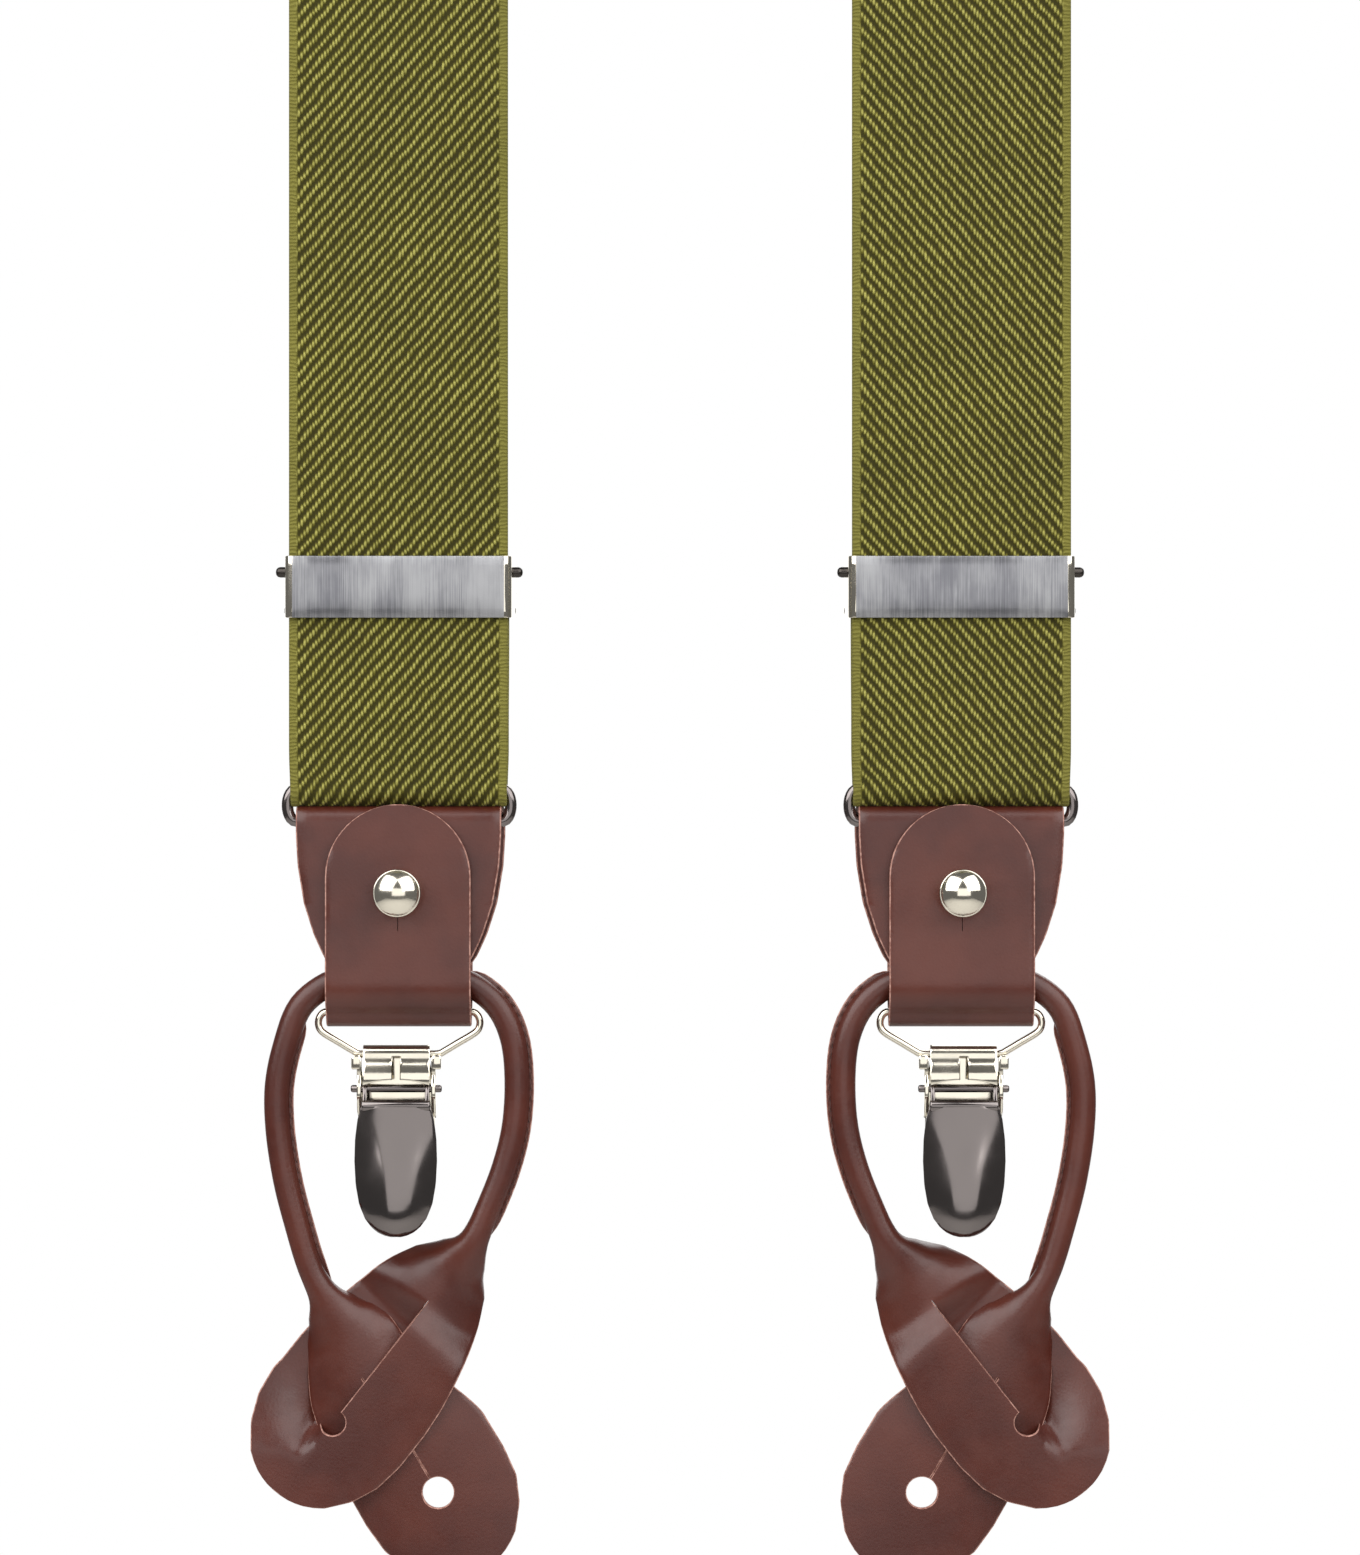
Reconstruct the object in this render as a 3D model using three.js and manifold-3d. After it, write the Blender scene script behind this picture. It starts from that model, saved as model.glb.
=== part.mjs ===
// Convertible Y-back suspenders, hung over a hanger bar: two front straps in front of the bar, the leather
// back patch and the back strap behind it. Each of the three lower ends has a wire ring, a folded leather
// holder, a clip on a buttoned leather tab, and a rolled leather loop whose two buttonhole tabs interlock.
// Millimetres, +Z up, front towards -Y, origin on the axis of the hanger bar midway between the straps.
import * as THREE from "three";
import { TessellateModifier } from "three/addons/modifiers/TessellateModifier.js";
import { mergeVertices } from "three/addons/utils/BufferGeometryUtils.js";
import Module from "manifold-3d";

const wasm = await Module();
wasm.setup();

// Whole object
const STRAP_X = 45; // each front strap's centre, left and right of the middle
const ARCH_R = 16; // strap's centre line over the hanger bar
const FRONT_END_Z = -560; // fold of the front straps round their rings
const REAR_END_Z = -290; // fold of the back strap round its ring

// Webbing
const WEB_W = 35;
const WEB_T = 1.5;
const FOLD_W = 32; // width where the ring gathers it
const FOLD_R = 2.05; // centre line of the fold round the ring
const FOLD_Z = 2.8; // ring's upper bar above the fold's lower edge
const SPLIT_Z = 170; // where the strap's sliding lower run begins
const REAR_HEM_Z = 24;

// Ring
const RING_WIRE_R = 1;
const RING_BEND_R = 3; // half the height of its centre line
const RING_BEND_X = 1.9;
const RING_STRAIGHT = 32.6;
const RING_LOW_Z = FOLD_Z - 2 * RING_BEND_R;

// Adjuster
const COVER_LOW_Z = 29.6;
const COVER_H = 9.9;
const COVER_W = 37.2;
const COVER_T = 0.7;
const COVER_FRONT_Y = -1.85;
const COVER_BACK_Y = 6.4;
const AXLE = { y: 2.6, z: 37, r: 0.7, length: 39.6 };
const BAR = { y: 5, z: 30.9, r: 0.7, length: 38.4 };
const RUN_GAP = 0.3; // room round a piece that turns or rests on its neighbour

// Leather holder, folded round the ring above and the rolled loop below
const HOLDER_T = 1.3;
const TUNNEL_Z = -28.9;
const TUNNEL_R = 2.3;

// Clip tab, stud and bail
const TAB_T = 1.5;
const TAB_W = 23.2;
const TAB_TOP_Z = -0.2;
const BAIL_Z = -33.45;
const BAIL_LOW_Z = BAIL_Z - 6.75;
const BAIL_R = 0.6;
const STUD_Z = -14.3;
const STUD_HEAD_R = 3.83;
const STUD_NECK_R = 1.5;
const STUD_BACK = 5; // back end of the stud's neck behind the ring's plane

// Clip
const CLIP_X = -0.4;
const PIN = { y: 0.9, z: -45.7, r: 0.6, length: 14.6 };
const CLIP_TOP_Z = -47.2;
const CLIP_END_Z = -69.3;
const CLIP_BACK_Y = 4.1;
const CLIP_T = 0.7;

// Rolled loop and its buttonhole tabs
const CORD_R = 2.05;
const PADDLE_T = 1.5;
const HOLE_R = 2.5;
const SLIT_END = 24.5;
const WEAVE = 1.9; // how far the front tab's two halves stand apart from the tab that they hold

const CENTRE_Y = FOLD_R; // plane in which ring, loop and bail hang

// --- making geometry ---

const AXES_YZ = new THREE.Matrix4().makeBasis(
  new THREE.Vector3(0, 1, 0),
  new THREE.Vector3(0, 0, 1),
  new THREE.Vector3(1, 0, 0),
);
const AXES_XZ = new THREE.Matrix4().makeBasis(
  new THREE.Vector3(1, 0, 0),
  new THREE.Vector3(0, 0, 1),
  new THREE.Vector3(0, -1, 0),
);

function extrude(shape, depth, curveSegments = 6) {
  const options = { depth, bevelEnabled: false, curveSegments };
  return new THREE.ExtrudeGeometry(shape, options).translate(0, 0, -depth / 2);
}

// A (y, z) profile made wide along X.
function sideways(shape, width, curveSegments) {
  return extrude(shape, width, curveSegments).applyMatrix4(AXES_YZ);
}

// An (x, z) outline made thick along Y.
function frontal(shape, thickness, curveSegments) {
  return extrude(shape, thickness, curveSegments).applyMatrix4(AXES_XZ);
}

function rodX(radius, length, y, z, sides = 12) {
  const rod = new THREE.CylinderGeometry(radius, radius, length, sides);
  return rod.rotateZ(Math.PI / 2).translate(0, y, z);
}

function box(x, y, z, cx, cy, cz) {
  return new THREE.BoxGeometry(x, y, z).translate(cx, cy, cz);
}

function smooth(value, low, high) {
  return THREE.MathUtils.smoothstep(value, low, high);
}

function solid(geometry) {
  const bare = geometry.index ? geometry.toNonIndexed() : geometry.clone();
  bare.deleteAttribute("normal");
  bare.deleteAttribute("uv");
  const merged = mergeVertices(bare, 1e-4);
  const vertProperties = merged.attributes.position.array;
  const triVerts = new Uint32Array(merged.index.array);
  return new wasm.Manifold(new wasm.Mesh({ numProp: 3, vertProperties, triVerts }));
}

function geometryOf(manifold) {
  const { vertProperties, triVerts } = manifold.getMesh();
  const geometry = new THREE.BufferGeometry();
  geometry.setAttribute("position", new THREE.BufferAttribute(vertProperties, 3));
  geometry.setIndex(new THREE.BufferAttribute(triVerts, 1));
  geometry.computeVertexNormals();
  return geometry;
}

function joined(...geometries) {
  return geometryOf(geometries.map(solid).reduce((a, b) => a.add(b)));
}

function cut(geometry, ...tools) {
  return geometryOf(tools.map(solid).reduce((a, b) => a.subtract(b), solid(geometry)));
}

function common(a, b) {
  return geometryOf(solid(a).intersect(solid(b)));
}

// A strip of the given thickness along an open (y, z) path, as a profile.
function band(path, thickness, divisions) {
  const points = path.getPoints(divisions);
  const side = (sign) =>
    points.map((point, i) => {
      const before = points[Math.max(i - 1, 0)];
      const after = points[Math.min(i + 1, points.length - 1)];
      const along = after.clone().sub(before).normalize();
      const across = new THREE.Vector2(along.y, -along.x);
      return point.clone().addScaledVector(across, (sign * thickness) / 2);
    });
  return new THREE.Shape([...side(1), ...side(-1).reverse()]);
}

// Flat webbing along a (y, z) path, stepped at the given distances, its centre at x = shift(distance).
function ribbon(path, distances, shift = () => 0, share = () => 1) {
  const steps = distances.length - 1;
  const geometry = new THREE.BoxGeometry(WEB_W, WEB_T, 1, 1, 1, steps);
  const position = geometry.attributes.position;
  const length = path.getLength();
  for (let i = 0; i < position.count; i++) {
    const distance = distances[Math.round((position.getZ(i) + 0.5) * steps)];
    const at = path.getPointAt(Math.min(distance / length, 1));
    const along = path.getTangentAt(Math.min(distance / length, 1));
    const lean = Math.atan(shift(distance + 0.5) - shift(distance - 0.5));
    const across = position.getX(i) * share(at.y);
    const depth = position.getY(i);
    const back = -across * Math.sin(lean);
    position.setXYZ(
      i,
      shift(distance) + across * Math.cos(lean),
      at.x + along.y * depth + along.x * back,
      at.y - along.x * depth + along.y * back,
    );
  }
  return geometry;
}

function evenly(from, to, steps) {
  return Array.from({ length: steps + 1 }, (_, i) => from + ((to - from) * i) / steps);
}

// --- materials ---

const leather = new THREE.MeshStandardMaterial({ color: 0x6b4239, roughness: 0.5 });
const webbing = new THREE.MeshStandardMaterial({ color: 0x6f6c1e, roughness: 0.9 });
const nickel = new THREE.MeshStandardMaterial({ color: 0xc9c6bd, roughness: 0.2, metalness: 1 });
const darkSteel = new THREE.MeshStandardMaterial({ color: 0x55555a, roughness: 0.3, metalness: 1 });
const satinSteel = new THREE.MeshStandardMaterial({ color: 0xb4b4b6, roughness: 0.4, metalness: 1 });
const gripPlastic = new THREE.MeshStandardMaterial({ color: 0x2a2523, roughness: 0.6 });

function piece(name, geometry, material) {
  const mesh = new THREE.Mesh(geometry, material);
  mesh.name = name;
  return mesh;
}

// --- webbing ---

// From the sliding lower run up the front, over the bar and down to the patch.
function frontStrap() {
  const rise = -(FRONT_END_Z + SPLIT_Z + RUN_GAP);
  const drop = 104;
  const path = new THREE.Path()
    .moveTo(-ARCH_R, -rise)
    .lineTo(-ARCH_R, 0)
    .absarc(0, 0, ARCH_R, Math.PI, 0, true)
    .lineTo(ARCH_R, -drop);
  const arch = Math.PI * ARCH_R;
  const bendFrom = rise - 150; // the strap hangs plumb below here and runs in to the patch above it
  const bend = rise + arch + drop - bendFrom;
  const inset = STRAP_X - 19.5;
  const shift = (d) => -STRAP_X + inset * Math.max((d - bendFrom) / bend, 0) ** 3.3;
  const distances = [
    0,
    ...evenly(bendFrom, rise, 6),
    ...evenly(rise, rise + arch, 12).slice(1),
    ...evenly(rise + arch, rise + arch + drop, 7).slice(1),
  ];
  return ribbon(path, distances, shift);
}

// The share of its width that the webbing keeps at a height, gathered where it turns round the ring.
function gathered(z) {
  return 1 - (1 - smooth(z, 1, 9)) * (1 - FOLD_W / WEB_W);
}

// The sliding lower run: hemmed round the adjuster's bar, down, round the ring and up again.
function strapEnd() {
  const hem = BAR.r + RUN_GAP + WEB_T / 2;
  const path = new THREE.Path()
    .moveTo(BAR.y - hem, BAR.z - 7)
    .lineTo(BAR.y - hem, BAR.z)
    .absarc(BAR.y, BAR.z, hem, Math.PI, 0, true)
    .lineTo(BAR.y + hem, BAR.z - 5)
    .lineTo(2 * FOLD_R, FOLD_Z + 12)
    .lineTo(2 * FOLD_R, FOLD_Z)
    .absarc(FOLD_R, FOLD_Z, FOLD_R, 0, -Math.PI, true)
    .lineTo(0, 10)
    .lineTo(0, SPLIT_Z);
  return ribbon(path, distancesOf(path), undefined, gathered);
}

// The back strap, from inside the patch down round its ring to its own hem.
function backStrap() {
  const path = new THREE.Path()
    .moveTo(2 * FOLD_R, REAR_HEM_Z)
    .lineTo(2 * FOLD_R, FOLD_Z)
    .absarc(FOLD_R, FOLD_Z, FOLD_R, 0, -Math.PI, true)
    .lineTo(0, 10)
    .lineTo(0, -REAR_END_Z - 112);
  return ribbon(path, distancesOf(path), undefined, gathered);
}

// The distances along a path at the ends of its lines and at six steps of its arcs.
function distancesOf(path) {
  const distances = [0];
  for (const curve of path.curves) {
    const start = distances.at(-1);
    const steps = curve.isLineCurve ? 1 : 8;
    distances.push(...evenly(start, start + curve.getLength(), steps).slice(1));
  }
  distances.push(path.getLength());
  return distances.filter((d, i, all) => i === 0 || d - all[i - 1] > 1e-3);
}

// --- adjuster ---

function adjusterCover() {
  const w = COVER_W / 2;
  const channel = new THREE.Shape([
    new THREE.Vector2(-w, COVER_FRONT_Y),
    new THREE.Vector2(w, COVER_FRONT_Y),
    new THREE.Vector2(w, COVER_BACK_Y),
    new THREE.Vector2(w - COVER_T, COVER_BACK_Y),
    new THREE.Vector2(w - COVER_T, COVER_FRONT_Y + COVER_T),
    new THREE.Vector2(-w + COVER_T, COVER_FRONT_Y + COVER_T),
    new THREE.Vector2(-w + COVER_T, COVER_BACK_Y),
    new THREE.Vector2(-w, COVER_BACK_Y),
  ]);
  const plate = extrude(channel, COVER_H).translate(0, 0, COVER_LOW_Z + COVER_H / 2);
  return cut(
    plate,
    rodX(AXLE.r + RUN_GAP, AXLE.length + 4, AXLE.y, AXLE.z),
    rodX(BAR.r + RUN_GAP, BAR.length + 4, BAR.y, BAR.z),
  );
}

function adjusterLever() {
  const width = COVER_W - 2 * COVER_T - 0.8;
  const tail = 3.5;
  const barrel = rodX(AXLE.r + 2 * RUN_GAP + 0.25, width, AXLE.y, AXLE.z, 16);
  const flap = box(width, 0.8, tail, 0, AXLE.y + 0.2, AXLE.z - tail / 2);
  return cut(joined(barrel, flap), rodX(AXLE.r + RUN_GAP, width + 4, AXLE.y, AXLE.z));
}

// --- ring, holder, tab and stud ---

// A closed wire of round section through (x, z) points, listed anticlockwise as seen from the front.
function closedWire(points, radius) {
  const tube = new THREE.TorusGeometry(10 * radius, radius, 8, points.length);
  const position = tube.attributes.position;
  for (let i = 0; i < position.count; i++) {
    const turn = Math.atan2(position.getY(i), position.getX(i)) / (2 * Math.PI);
    const out = Math.hypot(position.getX(i), position.getY(i)) - 10 * radius;
    const n = Math.round((turn + 1) * points.length);
    const [before, at, after] = [-1, 0, 1].map((k) => points[(n + k + points.length) % points.length]);
    const along = new THREE.Vector2(after[0] - before[0], after[1] - before[1]).normalize();
    const depth = position.getZ(i);
    position.setXYZ(i, at[0] + along.y * out, CENTRE_Y - depth, at[1] - along.x * out);
  }
  return tube;
}

// A slot-shaped loop with elliptical ends.
function ring() {
  const count = 20;
  const points = Array.from({ length: count }, (_, i) => {
    const turn = (2 * Math.PI * (i + 0.5)) / count;
    const straight = (Math.sign(Math.cos(turn)) * RING_STRAIGHT) / 2;
    return [straight + RING_BEND_X * Math.cos(turn), FOLD_Z - RING_BEND_R + RING_BEND_R * Math.sin(turn)];
  });
  return closedWire(points, RING_WIRE_R);
}

function studHole(radius) {
  return new THREE.CylinderGeometry(radius, radius, 40, 12).translate(0, 0, STUD_Z);
}

// A leather strip wrapped round the ring's lower bar and the rolled loop, tapered to the front outline.
function holder() {
  const top = RING_WIRE_R + RUN_GAP;
  const loop = (grow) =>
    new THREE.Path()
      .absarc(CENTRE_Y, RING_LOW_Z, top + grow, Math.PI, 0, true)
      .absarc(CENTRE_Y, TUNNEL_Z, TUNNEL_R + grow, 0, -Math.PI, true)
      .closePath();
  const profile = new THREE.Shape(loop(HOLDER_T).getPoints(6).slice(0, -1));
  const inside = new THREE.Shape(loop(0).getPoints(6).slice(0, -1));
  const halfWidth = [
    [2, 16.4], [-5, 16.4], [-10, 16.1], [-16, 15], [-21, 13.4], [-24.5, 11.8], [-27.5, 9.6], [-30, 8.4], [-36, 8.4],
  ];
  const outline = new THREE.Shape([
    ...halfWidth.map(([z, w]) => new THREE.Vector2(w, z)),
    ...halfWidth.toReversed().map(([z, w]) => new THREE.Vector2(-w, z)),
  ]);
  const wrapped = cut(sideways(profile, 60), sideways(inside, 80));
  return cut(common(wrapped, frontal(outline, 40)), studHole(STUD_NECK_R + RUN_GAP));
}

// A leather strip from the stud down in front of the holder, round the bail and up behind to the stud's screw.
function clipTab() {
  const foldR = BAIL_R + 0.35 + TAB_T / 2;
  const wrapR = TUNNEL_R + HOLDER_T + 0.25 + TAB_T / 2;
  const turn = THREE.MathUtils.degToRad(248);
  const topGap = RING_WIRE_R + RUN_GAP + HOLDER_T + 0.25 + TAB_T / 2;
  const path = new THREE.Path()
    .moveTo(CENTRE_Y - topGap, TAB_TOP_Z + 2)
    .lineTo(CENTRE_Y - topGap, -3)
    .lineTo(CENTRE_Y - wrapR, TUNNEL_Z)
    .absarc(CENTRE_Y, TUNNEL_Z, wrapR, Math.PI, turn, false)
    .absarc(CENTRE_Y, BAIL_Z, foldR, Math.PI, 2 * Math.PI, false)
    .absarc(CENTRE_Y, TUNNEL_Z, wrapR, 3 * Math.PI - turn, 2 * Math.PI, false)
    .lineTo(CENTRE_Y + topGap + 0.3, -7);
  const outline = new THREE.Shape()
    .moveTo(-TAB_W / 2, -60)
    .lineTo(TAB_W / 2, -60)
    .lineTo(TAB_W / 2, TAB_TOP_Z - TAB_W / 2)
    .absarc(0, TAB_TOP_Z - TAB_W / 2, TAB_W / 2, 0, Math.PI, false)
    .closePath();
  const strip = common(sideways(band(path, TAB_T, 5), 60), frontal(outline, 40, 10));
  const slit = box(0.5, 8, 3.4, 0, CENTRE_Y - 6, STUD_Z - 4.2);
  return cut(strip, studHole(STUD_NECK_R + RUN_GAP), slit);
}

// A ball-topped button head on a neck, pointing forwards.
function stud() {
  const profile = [
    [0, 0], [STUD_NECK_R, 0], [STUD_NECK_R, 10.15], [2.3, 10.35], [3.4, 10.85], [STUD_HEAD_R, 11.75],
    [3.7, 12.85], [3, 14.05], [1.8, 14.85], [0, 15.15],
  ];
  const head = new THREE.LatheGeometry(profile.map(([r, h]) => new THREE.Vector2(r, h)), 14);
  return head.rotateX(Math.PI).translate(0, CENTRE_Y + STUD_BACK, STUD_Z);
}

// The flat screw head behind it.
function studScrew() {
  const profile = [[0, 0], [3.4, 0], [3.8, 0.4], [3.8, 0.9], [3.2, 1.3], [0, 1.3]];
  const disc = new THREE.LatheGeometry(profile.map(([r, h]) => new THREE.Vector2(r, h)), 14);
  return disc.translate(0, CENTRE_Y + STUD_BACK + RUN_GAP, STUD_Z);
}

// --- rolled loop with two buttonhole tabs ---

// Half the width of a buttonhole tab at distances from its hole, from the round end to the neck.
const FRONT_PADDLE = [
  [-14.3, 1.2], [-13.4, 4.6], [-11.6, 7.4], [-8, 10.4], [-3.9, 12.2], [1, 12.9], [7.4, 12.9], [12, 12.4],
  [16, 11.6], [20, 10.6], [24, 9.2], [28, 7.4], [32, 5.4], [35, 3.6], [37.5, 2.2],
];
const BACK_PADDLE = [
  [-14.3, 1.2], [-13.4, 4.6], [-11.6, 7.4], [-8, 10.4], [-3.9, 12.2], [1, 12.7], [7.4, 12.6], [12, 11.4],
  [17, 9.6], [21.7, 8], [27, 6.4], [32, 4.6], [36, 2.8], [38, 2.2], [41.5, 1.9],
];

function paddleOutline(halfWidths) {
  const shape = new THREE.Shape([
    ...halfWidths.map(([a, w]) => new THREE.Vector2(a, -w)),
    ...halfWidths.toReversed().map(([a, w]) => new THREE.Vector2(a, w)),
  ]);
  const slitHalf = 0.25;
  const mouth = Math.asin(slitHalf / HOLE_R);
  const buttonhole = new THREE.Path().absarc(0, 0, HOLE_R, mouth, 2 * Math.PI - mouth, false);
  for (const a of [4, 8, 12, 16, 19, SLIT_END]) buttonhole.lineTo(a, -slitHalf);
  for (const a of [SLIT_END, 19, 16, 12, 8, 4]) buttonhole.lineTo(a, slitHalf);
  buttonhole.closePath();
  shape.holes.push(buttonhole);
  return shape;
}

// The right half of the front tab lies in front of the back tab and its left half, at q > 0, behind it.
function weave(a, q) {
  const toNeck = 1 - smooth(a, 19.5, SLIT_END);
  if (q < 0 || (a < 0 && q === 0)) return -WEAVE * toNeck;
  const fromHole = a < 0 ? smooth(q, 0, HOLE_R) : 1;
  return (-WEAVE + 2 * WEAVE * fromHole * smooth(a - 0.387 * q, -6.5, -0.7)) * toNeck;
}

function paddle(halfWidths, hole, direction, displaced = () => 0, triangleSize = 100) {
  const outline = extrude(paddleOutline(halfWidths), PADDLE_T, 4);
  const flat = new TessellateModifier(triangleSize, 8).modify(outline);
  const position = flat.attributes.position;
  const along = new THREE.Vector2(...direction).normalize();
  for (let i = 0; i < position.count; i++) {
    const a = position.getX(i);
    const q = position.getY(i);
    const y = CENTRE_Y - position.getZ(i) + displaced(a, q);
    position.setXYZ(i, hole[0] + along.x * a - along.y * q, y, hole[1] + along.y * a + along.x * q);
  }
  return flat;
}

const LOOP_ROUTE = [
  [-14.2, -74.6], [-16.4, -67.4], [-18.2, -60.3], [-19.4, -52.3], [-19.5, -45.1], [-18.1, -38.4],
  [-15.9, -32.7], [-11.9, -29.3], [-8.4, -28.3], [-4, -28], [0, -28], [4, -28], [8.4, -28.3], [11.9, -29.3],
  [15.9, -32.7], [18.2, -37.8], [18.9, -44.3], [18.5, -51.5], [17, -57.9], [14.6, -64.2], [11.6, -70.6],
];

function roundCord(points, radius, sides, steps) {
  const route = new THREE.CatmullRomCurve3(points.map(([x, z]) => new THREE.Vector3(x, CENTRE_Y, z)));
  const section = new THREE.Shape().absarc(0, 0, radius, 0, 2 * Math.PI, false);
  const round = new THREE.Shape(section.getSpacedPoints(sides).slice(0, sides));
  return new THREE.ExtrudeGeometry(round, { steps, extrudePath: route });
}

function buttonLoop() {
  const front = paddle(FRONT_PADDLE, [-10.5, -98.9], [0.62, 0.785], weave, 6);
  const back = paddle(BACK_PADDLE, [6.3, -110.3], [-0.508, 0.861]);
  return joined(roundCord(LOOP_ROUTE, CORD_R, 8, 30), front, back);
}

// --- clip ---

// Its upper bar lies in the tab's fold and its lower bar in the clip's barrel.
function clipBail() {
  const half = [
    [0, 0], [11.5, 0], [12.3, -0.25], [12.85, -1.1], [12.9, -2.2], [12.2, -3.4], [9.4, -5], [7.4, -6.2],
    [6.2, -6.75], [4, -6.75],
  ];
  const left = half.map(([x, z]) => [-x, BAIL_Z + z]);
  const right = half.slice(1).toReversed().map(([x, z]) => [x, BAIL_Z + z]);
  return closedWire([...left, ...right], BAIL_R);
}

const CLIP_OUTLINE = [
  [0, 5.5], [0.1, 6.1], [0.25, 6.5], [0.42, 6.6], [0.6, 6.4], [0.75, 5.8], [0.87, 4.7], [0.95, 3.3], [1, 1.2],
];

function clipHalfWidth(v) {
  const i = CLIP_OUTLINE.findIndex(([at]) => at >= v);
  if (i <= 0) return CLIP_OUTLINE[0][1];
  const [[v0, w0], [v1, w1]] = [CLIP_OUTLINE[i - 1], CLIP_OUTLINE[i]];
  return w0 + ((w1 - w0) * (v - v0)) / (v1 - v0);
}

// A plate with the clip's outline between two heights, its depth given by bulge(u, v), with u from -1 to 1.
function clipSheet(topZ, endZ, shrink, nu, nv, thickness, bulge) {
  const sheet = new THREE.BoxGeometry(2, thickness, 1, nu, 1, nv);
  const position = sheet.attributes.position;
  for (let i = 0; i < position.count; i++) {
    const u = position.getX(i);
    const v = 0.5 - position.getZ(i);
    position.setXYZ(
      i,
      CLIP_X + u * (clipHalfWidth(v) - shrink),
      position.getY(i) + bulge(u, v),
      topZ + (endZ - topZ) * v,
    );
  }
  return sheet;
}

function cheek(x, thickness, points) {
  const shape = new THREE.Shape(points.map(([y, z]) => new THREE.Vector2(y, z)));
  return sideways(shape, thickness).translate(CLIP_X + x, 0, 0);
}

function clipCover() {
  const dome = (u, v) => -0.9 - 1.5 * (1 - u * u) * Math.sin(Math.PI * Math.min(0.15 + 0.85 * v, 1)) ** 0.7;
  const shell = clipSheet(CLIP_TOP_Z - 1.2, CLIP_END_Z, 0, 6, 10, CLIP_T, dome);
  const roll = rodX(1, 10.6, -0.55, CLIP_TOP_Z - 1.2).translate(CLIP_X, 0, 0);
  const arm = [[-1, -49.2], [1, -49.2], [1.9, -46.4], [1.9, -44.8], [0.1, -44.8], [-1, -47.4]];
  const arms = [-1, 1].map((side) => cheek(side * 5, 0.6, arm));
  const bore = rodX(PIN.r + RUN_GAP, 40, PIN.y, PIN.z);
  return cut(joined(shell, roll, ...arms), bore);
}

function clipBody() {
  const back = clipSheet(-40.4, -68.6, 0.5, 2, 9, CLIP_T, () => CLIP_BACK_Y - CLIP_T / 2);
  const barrel = rodX(1.55, 10.4, CENTRE_Y, BAIL_LOW_Z, 16).translate(CLIP_X, 0, 0);
  const ear = [[CLIP_BACK_Y, -41.8], [0.6, -42.6], [-0.4, -44.4], [-0.4, -47], [1.4, -49.6], [CLIP_BACK_Y, -50.6]];
  const ears = [-1, 1].map((side) => cheek(side * 5.95, 0.7, ear));
  const shelf = box(12.6, 0.7, 1.8, CLIP_X, CLIP_BACK_Y - 0.35, -42.3);
  const bore = rodX(PIN.r + RUN_GAP, 40, PIN.y, PIN.z);
  const wire = rodX(BAIL_R + RUN_GAP, 40, CENTRE_Y, BAIL_LOW_Z);
  return cut(joined(back, barrel, shelf, ...ears), bore, wire);
}

// A bowed and slotted leaf between the cover's arms that presses on the back plate.
function clipSpring() {
  const path = new THREE.Path()
    .moveTo(3, -42.2)
    .lineTo(1.2, -42.2)
    .absarc(1.2, -43.7, 1.5, Math.PI / 2, Math.PI, false)
    .lineTo(-0.6, -46);
  const leaf = sideways(band(path, 0.45, 4), 8.8).translate(CLIP_X, 0, 0);
  return cut(leaf, box(1.1, 4, 3.4, CLIP_X, -0.6, -44.6));
}

// The moulded grip on the back plate, ribbed across where it holds the cloth.
function clipPad() {
  const ribs = [];
  for (let z = -60; z > -67; z -= 1) ribs.push(new THREE.Vector2(0.9, z), new THREE.Vector2(0.5, z - 0.5));
  const profile = new THREE.Shape([new THREE.Vector2(3.1, -59.5), ...ribs, new THREE.Vector2(3.1, -67)]);
  return sideways(profile, 7.2).translate(CLIP_X, 0, 0);
}

// --- assembly ---

// One lower end in its own frame: strap in the plane y = 0, z = 0 at the lower edge of its fold.
function strapLowerEnd(side) {
  const end = new THREE.Group();
  const add = (name, geometry, material) => end.add(piece(`${name}_${side}`, geometry, material));
  add("ring", ring(), darkSteel);
  add("leather_holder", holder(), leather);
  add("clip_tab", clipTab(), leather);
  add("stud", stud(), nickel);
  add("stud_screw", studScrew(), nickel);
  add("button_loop", buttonLoop(), leather);
  add("clip_bail", clipBail(), nickel);
  add("clip_body", clipBody(), nickel);
  add("clip_pin", rodX(PIN.r, PIN.length, PIN.y, PIN.z).translate(CLIP_X, 0, 0), nickel);
  add("clip_spring", clipSpring(), nickel);
  add("clip_pad", clipPad(), gripPlastic);
  add("clip_cover", clipCover(), darkSteel);
  return end;
}

function adjuster(side) {
  const group = new THREE.Group();
  const add = (name, geometry) => group.add(piece(`${name}_${side}`, geometry, satinSteel));
  add("adjuster_cover", adjusterCover());
  add("adjuster_axle", rodX(AXLE.r, AXLE.length, AXLE.y, AXLE.z));
  add("adjuster_bar", rodX(BAR.r, BAR.length, BAR.y, BAR.z));
  add("adjuster_lever", adjusterLever());
  return group;
}

function frontSide(side) {
  const half = new THREE.Group();
  half.add(piece(`front_strap_${side}`, frontStrap(), webbing));
  const lower = new THREE.Group();
  lower.position.set(-STRAP_X, -ARCH_R, FRONT_END_Z);
  lower.add(piece(`strap_end_${side}`, strapEnd(), webbing), adjuster(side), strapLowerEnd(side));
  half.add(lower);
  if (side === "right") half.scale.x = -1;
  return half;
}

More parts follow.
